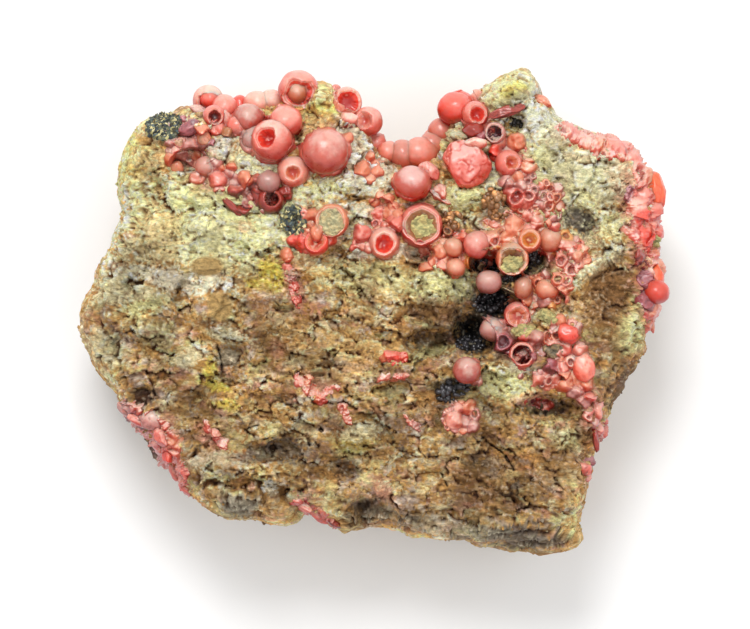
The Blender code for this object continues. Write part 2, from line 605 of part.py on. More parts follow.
def largest_body(mesh):
    """Drop crumbs that a cut has left, and slivers on the body where that keeps it closed."""
    for merge in (0.002, 0.001, 0.0003):
        result = mesh.copy()
        clean_body(result, merge)
        if is_closed(result):
            return result
    return result


def clean_body(mesh, merge):
    """Merge points that nearly touch, and keep the largest body."""
    shell = bmesh.new()
    shell.from_mesh(mesh)
    bmesh.ops.triangulate(shell, faces=shell.faces)
    bmesh.ops.remove_doubles(shell, verts=shell.verts, dist=merge)
    bmesh.ops.dissolve_degenerate(shell, edges=shell.edges, dist=merge)
    bmesh.ops.triangulate(shell, faces=shell.faces)
    left = set(shell.verts)
    bodies = []
    while left:
        stack = [left.pop()]
        body = set(stack)
        while stack:
            for edge in stack.pop().link_edges:
                for vertex in edge.verts:
                    if vertex in left:
                        left.discard(vertex)
                        body.add(vertex)
                        stack.append(vertex)
        bodies.append(body)
    bodies.sort(key=len, reverse=True)
    for body in bodies[1:]:
        bmesh.ops.delete(shell, geom=list(body), context="VERTS")
    shell.to_mesh(mesh)
    shell.free()


def cup_opening(cup, rng):
    """The inside of a broken ball: a smaller ball nearer the front."""
    radius = cup[2]
    centre = ball_centre(cup) + Vector((0.0, 0.0, CUP_RISE * radius))
    return ball_mesh(centre, CUP_BORE * radius, rng)


def cluster_mesh(name, balls, cups, cutter, seed):
    """Balls and cups grown together, cut to sit on the rock.

    The balls are turned another way if a union leaves an open edge.
    """
    for turn in range(TURNS):
        rng = random.Random(seed + turn)
        centres = [ball_centre(ball) for ball in balls]
        parts = []
        for centre, ball in zip(centres, balls):
            parts.append(ball_mesh(centre, ball[2], rng))
        for gap, i, j in links(centres, balls):
            if gap > -0.35 * min(balls[i][2], balls[j][2]):
                parts += knob_chain(centres[i], centres[j], rng)
        cutters = [cup_opening(cup, rng) for cup in cups]
        mesh = largest_body(combine(parts, cutters + [cutter.copy()]))
        mesh = simplified(mesh, KEEP)
        if is_closed(mesh):
            break
    mesh.name = name
    return mesh


def crust_mesh(name, cutter):
    """The black knobbly crust that lines the hollow."""
    rng = random.Random(41)
    parts = [slab_mesh("crust", HOLLOW_FLOOR, CRUST_THICK, 0.5)]
    places = spread_points(HOLLOW_FLOOR, 1.25, 0.35, 12)
    rng.shuffle(places)
    for x, y in places[:KNOB_COUNT]:
        centre = Vector((x, y, front_height(x, y) + GAP + CRUST_THICK * 0.8))
        parts.append(ball_mesh(centre, rng.uniform(*KNOB_RADIUS), rng))
    mesh = simplified(largest_body(combine(parts, [cutter.copy()])), CRUST_KEEP)
    mesh.name = name
    return mesh


def patch_mesh(name, loop, cutter):
    """A thin metallic patch on the rock."""
    mesh = combine([slab_mesh("patch", loop, PATCH_THICK, 0.5)], [cutter.copy()])
    mesh.name = name
    return largest_body(mesh)


def material(name, colour, roughness_value, metallic):
    """A plain material of one colour."""
    finish = bpy.data.materials.new(name)
    finish.use_nodes = True
    shader = finish.node_tree.nodes["Principled BSDF"]
    shader.inputs["Base Color"].default_value = (*colour, 1.0)
    shader.inputs["Roughness"].default_value = roughness_value
    shader.inputs["Metallic"].default_value = metallic
    return finish


def place(name, mesh, finish, round_shape):
    """Put a finished piece in the scene, in metres."""
    mesh.transform(Matrix.Diagonal((UNIT, UNIT, UNIT, 1.0)))
    mesh.materials.clear()
    mesh.materials.append(finish)
    if round_shape:
        mesh.shade_smooth()
        mesh.set_sharp_from_angle(angle=SHARP_ANGLE)
    else:
        mesh.shade_flat()
    piece = bpy.data.objects.new(name, mesh)
    bpy.context.scene.collection.objects.link(piece)
    return piece


def build():
    """Make every piece of the specimen."""
    clear_scene()
    cutter = rock_mesh("cutter", GAP)
    place("matrix", rock_mesh("matrix", 0.0), material("rock", OCHRE, 0.95, 0.0), False)

    red = material("rhodochrosite_red", RED, 0.25, 0.0)
    pink = material("rhodochrosite_pink", PINK, 0.3, 0.0)
    clusters = [
        ("upper_left", UPPER_LEFT_BALLS, UPPER_LEFT_CUPS, pink),
        ("top", TOP_BALLS, TOP_CUPS, red),
        ("centre_cups", CENTRE_BALLS, CENTRE_CUPS, red),
        ("ring", RING_BALLS, RING_CUPS, red),
        ("band", BAND_BALLS, BAND_CUPS, pink),
        ("hollow_rim", HOLLOW_RIM_BALLS, HOLLOW_RIM_CUPS, pink),
        ("lone_ball", LONE_BALLS, [], pink),
        ("lower_patch", LOWER_PATCH_BALLS, [], pink),
        ("right_edge", RIGHT_EDGE_BALLS, [], red),
        ("peak_flake", PEAK_FLAKE_BALLS, [], red),
        ("lower_left_seam", LOWER_LEFT_BALLS, [], red),
        ("bottom_seam", BOTTOM_BALLS, [], pink),
    ]
    for seed, (name, balls, cups, finish) in enumerate(clusters):
        name = "rhodochrosite_" + name
        place(name, cluster_mesh(name, balls, cups, cutter, 100 * seed), finish, True)

    black = material("goethite", BLACK, 0.35, 0.0)
    place("goethite_crust", crust_mesh("goethite_crust", cutter), black, True)
    steel = material("metallic", STEEL, 0.35, 0.6)
    for name, loop in (("upper_left", UPPER_LEFT_PATCH), ("centre", CENTRE_PATCH)):
        name = "metallic_patch_" + name
        place(name, patch_mesh(name, loop, cutter), steel, False)


build()
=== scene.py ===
import functools
import math
import random

import bmesh
import bpy
import numpy as np
from mathutils import Matrix, Vector, noise
from mathutils.geometry import delaunay_2d_cdt


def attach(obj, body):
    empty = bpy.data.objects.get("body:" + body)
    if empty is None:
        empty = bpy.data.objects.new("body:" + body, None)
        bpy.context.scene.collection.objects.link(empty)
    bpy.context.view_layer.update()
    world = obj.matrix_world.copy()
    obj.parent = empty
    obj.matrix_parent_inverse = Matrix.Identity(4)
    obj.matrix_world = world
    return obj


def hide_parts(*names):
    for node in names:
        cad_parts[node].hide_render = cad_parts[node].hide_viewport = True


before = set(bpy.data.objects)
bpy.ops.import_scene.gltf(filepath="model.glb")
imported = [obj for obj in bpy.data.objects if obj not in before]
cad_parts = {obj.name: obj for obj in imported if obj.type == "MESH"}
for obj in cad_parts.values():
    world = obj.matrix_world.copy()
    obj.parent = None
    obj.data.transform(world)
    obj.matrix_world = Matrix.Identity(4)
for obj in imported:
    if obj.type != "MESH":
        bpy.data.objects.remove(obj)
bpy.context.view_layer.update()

# The vector noise would start from the clock without a seed
noise.seed_set(1)

# Drawn millimetres to metres
UNIT = 0.001

# The rock's main shape, as in the CAD source
FRONT_HEIGHT = 26.5       # the plain front face, before its lumps and pits
WIDEST_HEIGHT = 17.5      # the level at which the lump is widest
RIM_ROUND = 4.2           # width of the rounded rim
FACET_TILT = 4.0
SMALL_LUMPS = 1.0
BROAD_WAVE = 1.8
BACK_BEVEL = 2.2

# Fineness of the meshes
COARSE_GRID = 0.92        # spacing of the front's points before two subdivisions
SIDE_ROWS = 48            # rows of points down the sides
BACK_GRID = 2.6
CRUMB_GRID = 0.62         # spacing of the places where a crumb may lie
CRUMB_SHARE = 0.45        # share of them that has one
CUP_TURNS = 80            # points round a broken ball
SHELL_ROWS = 24
RIM_ROWS = 5
BOWL_ROWS = 18

# Relief of the broken rock
LARGE_CHIPS = np.array([0.26, 0.50, 0.5])
SMALL_CHIPS = np.array([0.75, 1.35, 1.3])
MOST_RELIEF = 0.9
NEAR_ROUNDS = 3           # how widely a hollow is looked for, in rounds of evening out
WIDE_ROUNDS = 14

# Rings of the sides: rounds of smoothing, inset, roughness, share of the widest level's height
SIDE_RINGS = [(2, 1.0, 2.4, 0.72), (5, 2.2, 3.2, 0.42), (8, 4.2, 2.6, 0.15)]

# The lump's outline, clockwise from its upper left corner
OUTLINE = [
    (-30.2, 26.5), (-28.1, 26.7), (-26.2, 27.8), (-24.5, 28), (-22.4, 28.5), (-20, 28),
    (-17.8, 28.2), (-15.6, 28.4), (-13.4, 28.6), (-11.6, 29.6), (-9.8, 30.6), (-8.3, 31),
    (-7, 31.3), (-5.9, 30.9), (-4.7, 29.9), (-3.2, 29), (-2.3, 27.6), (-1, 26.4), (-0.1, 25.2),
    (0.3, 23.6), (1, 22.3), (2.6, 22.1), (4.2, 22.5), (6, 22.8), (7.7, 23), (8.9, 24.2),
    (9.7, 25.9), (10.5, 27.6), (11.8, 28.9), (13.5, 29.6), (15.1, 30.7), (17, 32), (18.7, 32.7),
    (20.3, 33.1), (21.3, 32.6), (22.4, 30.8), (22.9, 29.3), (23.9, 28.1), (24.7, 26.7), (26, 25.7),
    (27.6, 25), (28.9, 24.3), (30.6, 24), (32.2, 23.6), (34, 22.8), (35.6, 21.4), (36.8, 19.8),
    (37.9, 18.2), (38.7, 16.6), (38.7, 14.6), (38.6, 12.6), (38.4, 10.6), (38, 8.6), (38.4, 6.6),
    (38.6, 4.6), (38.8, 2.6), (38.4, 0.8), (37.8, -0.8), (37.1, -2.2), (36.8, -3.8), (37.3, -5),
    (36.3, -6.6), (35.6, -8), (34.3, -9.4), (34.1, -10.7), (32.7, -12.4), (32, -14.2),
    (31.2, -15.8), (30.9, -17.2), (30, -18.9), (29.4, -20.2), (29.5, -21.6), (29, -23.4),
    (28.7, -25.4), (28.1, -27.2), (27.9, -28.9), (28.5, -30.8), (27.6, -31.9), (26, -32.7),
    (24.2, -33), (22.6, -33.2), (20.8, -32.7), (18.5, -32.7), (16.4, -32), (14, -32), (12.3, -30.9),
    (10.3, -30.9), (8.5, -30.8), (6.8, -30.5), (5, -30.7), (3.4, -29.6), (1.4, -29.3),
    (-0.6, -29.2), (-2.4, -29.5), (-4.1, -30.1), (-5.4, -29), (-7.2, -28.1), (-8.9, -27),
    (-10.4, -28.5), (-12.2, -29.1), (-13.9, -28.9), (-15.6, -28.3), (-17.7, -28.1), (-19.9, -28.1),
    (-21.4, -27.4), (-22.8, -26.6), (-24.2, -25.5), (-25.6, -24.3), (-26.6, -22.7), (-27.2, -21.2),
    (-28.8, -20.9), (-30.2, -19.8), (-30.9, -18.1), (-31.4, -16.4), (-32.8, -14.9), (-33.9, -13.6),
    (-34.5, -12), (-35.4, -10.5), (-36.7, -9.2), (-38, -7.4), (-38.6, -5.6), (-39.4, -4.2),
    (-40, -2.4), (-39.9, -0.4), (-39.4, 1.6), (-38.2, 3.4), (-37.9, 5.2), (-37, 7.1), (-35.8, 8.6),
    (-35.4, 10.5), (-34.5, 12.3), (-34.2, 14), (-34.4, 15.9), (-34.7, 18), (-34.5, 20.2),
    (-33.8, 22.2), (-32.8, 24), (-31.7, 25.8),
]

# Places where the lump is widest lower or higher than elsewhere: x, y, reach, height
WIDEST_PLACES = [
    (21.5, -32.5, 9, 11), (34.5, -9.5, 8, 9), (-29.8, -19, 4, 9), (4.5, 22.5, 6, 14.5),
    (39, 8, 12, 18.5),
]

# Lower parts of the front, seen from the front as sloping sides: x, y, reach, width of the slope
SLOPES = [
    (21.5, -32.5, 9, 5.4), (34, -9.5, 7, 4.6), (-29.6, -19.2, 3.6, 3.6), (-39, -1, 14, 5.5),
    (5, 22.5, 6, 5),
]

# Lumps and ridges on the front: x, y, half length, half width, turn in degrees, height
LUMPS = [
    (0, 0, 38, 30, 0, 2.2), (9, 2.8, 5.4, 4.2, 10, 3.4), (29.5, 5.9, 5.4, 1.9, 36, 1.7),
    (-31.5, 18.6, 4, 3.6, 15, 1.7), (-30.4, 23.2, 3.2, 2.8, 40, 1.2),
    (-22.4, 11.2, 5.4, 2.5, -12, 1.5), (-21.6, 5.9, 3.6, 2, 0, 1), (-22, 15.4, 4, 2, 12, 1.2),
    (-20.4, 22, 2.3, 1.9, -8, 1.3), (-19, -2.2, 6.5, 2.6, -12, 1.2), (-31.5, -3, 5, 3.2, 30, 1),
    (-27.5, -9.4, 5.2, 2.6, -14, 1.2), (-33.4, -10.2, 2.8, 2.2, -30, 1.3),
    (-18, -26, 3.4, 2.6, -18, 1.8), (-12.6, -27.6, 2.6, 2, 8, 1.3), (-12, -14, 5.4, 2.6, -8, 1.2),
    (-7.4, -4, 5.5, 3, 12, 1.1), (6.6, -8.2, 3, 2.5, 8, 1.7), (2.6, -5.8, 2.9, 2, 6, 1.3),
    (16.8, -8.8, 4, 3.2, 10, 1.9), (22.5, -16, 5.5, 2.4, -4, 1.5), (8, -20, 3.6, 2.4, 18, 1.3),
    (12, -25.6, 6.4, 2.8, -6, 1.5), (22.5, -25, 5.4, 3, 4, 1.4), (-1.2, -16.6, 4.6, 2.6, 10, 1.1),
    (11.6, 15.9, 3.4, 2.2, -14, 2), (-7, 28.8, 2.4, 2.9, 0, 2), (-4, 16.9, 6, 2, 4, 1.3),
    (-2.2, 12.9, 2.4, 2, 0, 0.9), (18.4, 29.9, 4.4, 3.2, 20, 2.6), (24.6, 24.2, 3.6, 2.4, -20, 1.2),
    (29, 17.4, 6.5, 4.4, -12, 1.5), (34, -3, 3.6, 2.4, 20, 1.2), (31.6, 9.6, 4.2, 2.4, 14, 0.9),
]

# Pits, ledges' shadows and the hollow: x, y, half length, half width, turn in degrees, depth
PITS = [
    (16.6, 1.2, 7.2, 7.6, 0, 2.6), (15.2, 6.6, 2.6, 1.7, 0, 4.2), (21.2, 6.8, 2.2, 1.9, 20, 3.6),
    (16.8, 1.2, 3.2, 2.2, -8, 4.6), (13.4, -3.2, 3.3, 2.7, -42, 5.6), (8, -3.9, 4.2, 2.1, 4, 3.6),
    (6, 8, 2.2, 1.4, -8, 2.4), (23.8, -12.9, 4.5, 1.9, -5, 3), (2.4, -10.4, 3, 1.4, 6, 2.2),
    (28.5, -18.8, 1.9, 2, 60, 3.4), (27.8, 12.2, 2.9, 1.9, -28, 1.7),
    (-31.2, -11.2, 2.4, 1.5, 12, 1.5), (-13.5, -18.6, 5.6, 1.9, 5, 1.9),
    (-4.3, -21.3, 2.6, 1.9, -10, 1.6), (0, -27.2, 3.8, 2.2, -14, 2.8),
    (-19.1, -6.4, 2.6, 2.3, 20, 1.7), (-24.8, 20.4, 2.8, 1.6, 12, 2.4),
    (16.8, -18.6, 3.6, 1.4, -40, 2), (18.9, 25.4, 1.8, 1.4, 20, 2.4), (-6.6, 7.2, 3, 1.5, 26, 1.6),
    (-9, 26.2, 1.6, 1.9, 0, 1.2), (34, 3, 3.8, 3.4, 0, 1.2), (14.4, 12.8, 3.4, 2.2, -20, 1.8),
    (4.6, 21.6, 5, 3.4, 0, 3),
]

# Cracks and narrow ledges' shadows: width, depth, points
CRACKS = [
    (0.25, 0.9, [(-17.5, -15.9), (-15.9, -15.2), (-14.5, -15.1)]),
    (0.35, 1, [(14.3, -16.6), (16, -18), (17.5, -19), (18.8, -21.2)]),
    (0.3, 0.8, [(5.4, -17.7), (7, -19.6), (8.6, -19.3)]), (0.35, 0.8, [(11, -18.6), (12.3, -18.4)]),
    (0.3, 0.7, [(9, -21.7), (9.8, -23.2)]),
    (0.3, 0.8, [(-11.2, -8), (-9.6, -10.2), (-8, -12.2), (-6, -12.1), (-4, -12.2)]),
    (0.4, 0.9, [(-7.2, -15.2), (-7, -16)]), (0.3, 0.7, [(-6.3, -5.4), (-5, -5.8)]),
    (0.4, 0.9, [(-21, -4.5), (-20.4, -7.8)]), (0.3, 0.6, [(-22.8, -9), (-21.6, -9.4)]),
    (0.3, 0.6, [(-20.4, -12.2), (-18.4, -12.3)]), (0.45, 1, [(-8.9, -17), (-8.6, -17.9)]),
    (0.35, 0.7, [(-4, 15.7), (-2.4, 15.5), (-1.2, 15.3)]),
]

# Colours of the weathered rock
ROCK = {
    "ochre": (202, 152, 84), "tan": (230, 188, 122), "brown": (150, 108, 64), "dark": (70, 50, 32),
    "cream": (248, 236, 188), "white": (252, 238, 206), "yellow": (232, 202, 84),
    "green": (242, 236, 164), "pale": (246, 238, 186), "grey": (166, 156, 134),
    "slate": (96, 88, 80), "rose": (222, 150, 130), "salmon": (218, 138, 112),
    "rust": (170, 106, 58), "mauve": (168, 132, 114), "lilac": (226, 212, 202),
    "wine": (84, 40, 34), "black": (20, 17, 15),
}
# Painted shade: colours that darken the rock in small and in wide hollows
NEAR_HOLLOW_SHADE = (126, 92, 64)
WIDE_HOLLOW_SHADE = (156, 124, 92)
SMOOTH_COLOUR = (200, 164, 104)

# Colours scattered through it: colour, fineness, place in the noise, threshold, strength
VARIETY = [
    ("cream", 0.5, 21, 0.1, 0.65), ("mauve", 0.34, 27, 0.16, 0.75), ("rust", 0.42, 33, 0.22, 0.5),
    ("green", 0.28, 39, 0.2, 0.5), ("lilac", 0.6, 45, 0.3, 0.55), ("brown", 0.7, 51, 0.12, 0.6),
    ("rose", 0.36, 57, 0.34, 0.45),
]

# Patches of colour on the rock: x, y, half length, half width, turn in degrees, colour, strength.
# The dark, slate and black patches over the pits at (27.8, 12.2), (-13.2, -18.6), (-4.3, -21), (0,
# -26.8), (22.5, -12.9), (-31.2, -11.4) and (-25, 20.3), under the lump at (8, -3.6), on the
# turned-under bottom at (20.5, -30.4) and on the lower right slope at (34.6, -10) are painted shade.
# The wine patch at (-29.4, -19.2) is the rock's red-brown with painted shade. The black patches in
# the hollow are the black crust's own colour.
PATCHES = [
    (-20, 14, 17, 11, 0, "cream", 0.6), (26, 18, 13, 10, 0, "cream", 0.8),
    (18.6, 30, 4.6, 3.4, 20, "white", 0.9), (-22, 12.5, 14, 6.5, -4, "green", 0.75),
    (-26.5, 9.5, 9, 3.6, 4, "pale", 0.6), (-27, 4.4, 8, 1.7, -6, "white", 0.9),
    (-33, 3, 5, 3.4, 0, "pale", 0.6), (-31.5, 0.6, 3.4, 1.2, 10, "green", 0.8),
    (-36, -5, 3.4, 2.4, -40, "pale", 0.5), (-20.4, 22.2, 2.4, 1.5, -8, "white", 0.95),
    (-15.5, 20, 4.2, 1.7, -16, "pale", 0.9), (-30, 15, 5, 4, 0, "cream", 0.5),
    (-33, 20, 3, 5, 10, "yellow", 0.35), (-13.6, 5.2, 1.8, 2.4, 40, "yellow", 0.95),
    (-15.2, 3.6, 2.6, 0.9, -10, "yellow", 0.8), (-22, -7.5, 1.1, 1.6, 0, "yellow", 0.8),
    (-21.4, -9.8, 2.2, 1, -20, "yellow", 0.9), (-20, -12.4, 2.2, 0.9, -12, "yellow", 0.7),
    (-24.5, -5.8, 2.4, 1.6, 30, "cream", 0.7), (-19.5, -3.2, 3.2, 0.9, -10, "cream", 0.8),
    (-19.4, -6.4, 1.9, 1.7, 20, "grey", 0.85), (-6, 16.9, 8, 1.7, 6, "green", 0.85),
    (-4, 22, 4, 5, 20, "white", 0.75), (-8, 27, 3.2, 4.6, 0, "tan", 0.8),
    (-7, 27.3, 2.8, 0.9, -4, "yellow", 0.5), (-0.4, 18.2, 3.8, 3.2, 0, "white", 0.8),
    (-2.4, 12.8, 2.9, 2.6, 0, "white", 0.7), (-3, 12.6, 1.6, 1.4, 0, "green", 0.6),
    (2, 8, 5, 1.4, 0, "white", 0.6), (0, 4.5, 9, 3, 0, "green", 0.4),
    (9.2, 3.8, 4.6, 2.8, 0, "green", 0.85), (8.2, 0.2, 4.2, 1.6, 0, "brown", 0.7),
    (11.8, 15.6, 3.8, 2.3, -12, "green", 0.95), (16.2, 14.2, 2.2, 2.4, 0, "slate", 0.7),
    (18.4, 30.4, 3.8, 2.6, 20, "yellow", 0.5), (17, 28, 3.6, 1.3, 10, "green", 0.8),
    (22, 26, 5, 3, -20, "pale", 0.8), (25, 20, 6, 5, 0, "green", 0.6),
    (22.4, 18.4, 2.4, 3.8, 0, "green", 0.7), (23, 13.6, 3.4, 2.2, -10, "green", 0.8),
    (31, 17, 5, 4, 0, "grey", 0.25), (29, 19.4, 6, 3, 0, "cream", 0.7),
    (27.6, 15.4, 3.6, 1.6, -30, "green", 0.8), (27.8, 12.2, 2.9, 1.9, -28, "slate", 0.95),
    (32, 11.4, 3, 2, 20, "green", 0.5), (29.4, 6, 5.6, 1.6, 36, "cream", 0.95),
    (32.4, 2.6, 4.4, 3.2, 0, "brown", 0.8), (29.2, 0.8, 2.6, 2.6, 0, "tan", 0.5),
    (34.4, -2.6, 2.6, 3.4, 0, "green", 0.85), (35.2, 1.8, 1.5, 1.7, 0, "green", 0.8),
    (25.6, 4.2, 2, 2, 0, "green", 0.6), (23.4, -0.8, 1.6, 1, -20, "green", 0.95),
    (20.4, -2.7, 1.8, 1, 0, "green", 0.9), (24, -4.8, 1.6, 1.1, 0, "grey", 0.7),
    (17.5, -9.4, 4.2, 2.8, 8, "green", 0.85), (19.5, -7.6, 2.6, 0.8, -8, "white", 0.6),
    (8, -5.2, 3.2, 0.9, 10, "green", 0.7), (34, -9.5, 5.2, 3.4, 52, "rust", 0.4),
    (34.6, -10, 4.6, 2.6, 52, "dark", 0.75), (-13.2, -18.6, 5.4, 1.6, 6, "slate", 0.65),
    (-22, -19.8, 5, 1.4, 4, "white", 0.4), (-18.2, -26, 2.6, 2, -10, "grey", 0.9),
    (-13.9, -23.5, 1.2, 1.1, 0, "white", 0.95), (-4.3, -21, 2.2, 1.6, -10, "dark", 0.7),
    (0, -26.8, 3.4, 1.6, -14, "slate", 0.7), (-2.5, -17.4, 3.2, 1.6, 8, "yellow", 0.45),
    (-2, -16, 3.6, 1.4, 8, "cream", 0.6), (20.5, -30.4, 7, 2, 0, "slate", 0.8),
    (27.2, -29.4, 1.4, 2.4, 0, "tan", 0.9), (10, -29, 8, 1.6, -8, "grey", 0.6),
    (26, -17, 3, 1.6, -10, "green", 0.5), (22.5, -12.9, 4, 1.2, -5, "black", 0.8),
    (13.4, -3.2, 3, 2.4, -42, "black", 1), (16.6, 1.2, 3.4, 2.4, -8, "black", 1),
    (15.2, 6.4, 2.4, 1.5, 0, "black", 1), (19.6, 5.4, 2.8, 1.2, 24, "black", 0.9),
    (21.6, 7.4, 1.8, 1.1, 10, "black", 0.9), (8, -3.6, 3.4, 1.3, 4, "dark", 0.8),
    (10.4, -10.3, 2.3, 1.5, 20, "black", 0.8), (-31.2, -11.4, 2.2, 1.4, 12, "dark", 0.8),
    (-25, 20.3, 2, 1, 12, "black", 0.8), (-10.6, 3.4, 1.4, 4, 14, "rose", 0.6),
    (-13, -5, 1.4, 1.8, 10, "rose", 0.45), (-14.8, 1.6, 1.8, 2.4, 0, "rose", 0.25),
    (-17, 11.6, 1.6, 1, 0, "rose", 0.45), (-8, -9.2, 2.6, 1.2, -30, "rose", 0.45),
    (11.6, -14.6, 2.4, 2.2, 0, "rose", 0.6), (21, -11.6, 2.6, 1, 0, "rose", 0.4),
    (-22.4, -16.8, 2.6, 1.2, -50, "rose", 0.5), (-28, -16, 1.6, 3, 10, "rose", 0.6),
    (28.6, -17, 1.2, 2.6, 0, "rust", 0.6), (-29.4, -19.2, 2, 2.4, 30, "wine", 0.95),
    (-31, -11.8, 3.2, 1.2, -10, "wine", 0.5), (18.4, 29.9, 2.2, 1, 20, "yellow", 0.7),
    (28, 22.6, 5, 2.2, -22, "salmon", 0.55), (34, 16.4, 2.2, 5, 10, "salmon", 0.6),
    (24.6, 16, 1.8, 2.6, 0, "salmon", 0.35), (14.8, -1.4, 3.6, 2.6, -60, "black", 0.9),
    (31.8, 3, 4.4, 4.6, 0, "wine", 0.22), (-29, 12.5, 4, 6, 10, "tan", 0.6),
    (-26, 16, 3, 2.4, 10, "tan", 0.4), (-30, 21.5, 3.4, 3, 0, "tan", 0.5),
    (27, 19.5, 7, 5.5, 0, "pale", 0.5), (23.5, 25, 4, 3, -20, "white", 0.4),
    (31.8, 3.4, 4.6, 4, 0, "brown", 0.85), (31, -1.6, 3, 4, 20, "brown", 0.7),
    (24, -21, 6, 4, 0, "brown", 0.5), (14, -22.5, 5, 3, 0, "brown", 0.45),
    (10, -13, 7, 3, 0, "brown", 0.3), (-6, -6, 8, 4, -10, "tan", 0.4),
    (12, 8.2, 4.6, 1.8, 0, "salmon", 0.8), (20.5, 10.4, 5.4, 2, -8, "salmon", 0.75),
    (25.6, 7.6, 2.8, 2.4, -30, "salmon", 0.7), (23, 2.8, 3.6, 2, 0, "salmon", 0.75),
    (19.8, -4.6, 3.6, 2, -20, "salmon", 0.7), (26.2, -6, 2.8, 4.6, 20, "salmon", 0.7),
    (29.2, -12.6, 1.6, 4.4, 14, "salmon", 0.7), (19.6, 18, 2.2, 5.6, 8, "salmon", 0.65),
    (22.4, 14.4, 2.2, 2.6, -30, "salmon", 0.5), (36.6, 8, 2.4, 11, 4, "salmon", 0.75),
    (31, 22.8, 5.6, 1.4, -16, "salmon", 0.6), (-24.8, 22.2, 3.2, 2.8, 0, "rose", 0.7),
    (-21.6, 18.4, 3.2, 2, -30, "rose", 0.7), (-16.4, 15.6, 3.2, 2.2, -34, "wine", 0.5),
    (-7.8, 10.6, 3, 3, 0, "salmon", 0.7), (1.2, 12.6, 2, 3.2, 0, "salmon", 0.5),
]

# The rock's layers run along X, a little downwards
SLANT = np.array([[1.0, 0.22, 0.0], [-0.22, 1.0, 0.0], [0.0, 0.0, 1.0]])

# Smooth faces among the rough ones: x, y, half length, half width, turn in degrees
SMOOTH_FACES = [(-22.4, 6.1, 2.5, 1.5, 0), (-20.7, 0.8, 1.9, 2.3, 14)]


def rgb(red, green, blue):
    """Linear colour from 0 to 255 screen values."""
    return np.array([(((v / 255.0) + 0.055) / 1.055) ** 2.4 for v in (red, green, blue)])


def soft(value):
    """A soft step from 0 to 1."""
    value = np.clip(value, 0.0, 1.0)
    return value * value * (3.0 - 2.0 * value)


def mix(first, second, share):
    """Rows of one colour or place turned towards another by a share for each row."""
    share = np.asarray(share)[:, None]
    return first * (1.0 - share) + second * share


def unit(rows, least=0.0):
    """Rows scaled to a length of 1."""
    return rows / np.maximum(np.linalg.norm(rows, axis=1), least)[:, None]


def many(function, spots, *extra):
    """A noise function at many places."""
    return np.array([function(Vector(spot), *extra) for spot in spots.tolist()])


def nearest_cells(spots):
    """Middle of the noise cell in which each place lies."""
    return np.array([noise.voronoi(Vector(spot))[1][0] for spot in spots.tolist()])


def oval(xy, feature):
    """Place of points in a turned oval: 0 in its middle, 1 on its edge."""
    cx, cy, half_length, half_width, turn = feature[:5]
    angle = math.radians(turn)
    dx, dy = xy[:, 0] - cx, xy[:, 1] - cy
    along = dx * math.cos(angle) + dy * math.sin(angle)
    across = dy * math.cos(angle) - dx * math.sin(angle)
    return np.hypot(along / half_length, across / half_width)


def turned_place(x, y, dx, dy, turn):
    """The place dx along and dy across a turned feature from its middle."""
    angle = math.radians(turn)
    return (x + dx * math.cos(angle) - dy * math.sin(angle),
            y + dx * math.sin(angle) + dy * math.cos(angle))


def random_place(rng, x, y, half_length, half_width, turn):
    """A random place in a turned oval."""
    reach, way = math.sqrt(rng.random()), rng.uniform(0.0, math.tau)
    dx, dy = half_length * reach * math.cos(way), half_width * reach * math.sin(way)
    return turned_place(x, y, dx, dy, turn)


def spin_matrix(turn):
    """Turns rows of points about Z."""
    angle = math.radians(turn)
    across, along = math.sin(angle), math.cos(angle)
    return np.array([[along, across, 0.0], [-across, along, 0.0], [0.0, 0.0, 1.0]])


def local_value(xy, places, plain):
    """A value that differs near some places."""
    for px, py, reach, value in places:
        near = soft(1.0 - np.hypot(xy[:, 0] - px, xy[:, 1] - py) / reach)
        plain = plain + (value - plain) * np.minimum(1.0, 1.6 * near)
    return plain


def lift(xy, height):
    """Points of the plane at one height."""
    return np.column_stack([xy, np.full(len(xy), height)])


def line_distance(xy, start, end):
    """Distance from points to a segment, and the nearest points on it."""
    start, end = np.array(start), np.array(end)
    along = ((xy - start) @ (end - start)) / ((end - start) @ (end - start))
    nearest = start + np.clip(along, 0.0, 1.0)[:, None] * (end - start)
    return np.linalg.norm(xy - nearest, axis=1), nearest


def outline_place(xy):
    """Distance to the outline and the outward direction, for many points."""
    best = np.full(len(xy), 1e9)
    outward = np.zeros((len(xy), 2))
    for index, end in enumerate(OUTLINE):
        start = OUTLINE[index - 1]
        distance, nearest = line_distance(xy, start, end)
        side = np.array([start[1] - end[1], end[0] - start[0]])
        side = side / np.linalg.norm(side)
        closer = distance < best
        best = np.where(closer, distance, best)
        away = nearest - xy
        away = np.where(distance[:, None] > 0.02, away / np.maximum(distance, 0.02)[:, None], side)
        outward = np.where(closer[:, None], away, outward)
    return best, outward


def inside(xy, loop):
    """Whether points are inside a closed loop."""
    odd = np.zeros(len(xy), dtype=bool)
    for index, (bx, by) in enumerate(loop):
        ax, ay = loop[index - 1]
        if ay == by:
            continue
        crosses = (ay > xy[:, 1]) != (by > xy[:, 1])
        odd ^= crosses & (xy[:, 0] < ax + (xy[:, 1] - ay) / (by - ay) * (bx - ax))
    return odd


def widest_height(xy):
    """Level of the outline near many points."""
    wave = 1.6 * many(noise.noise, lift(xy * 0.11, 4.0))
    return local_value(xy, WIDEST_PLACES, WIDEST_HEIGHT + wave)


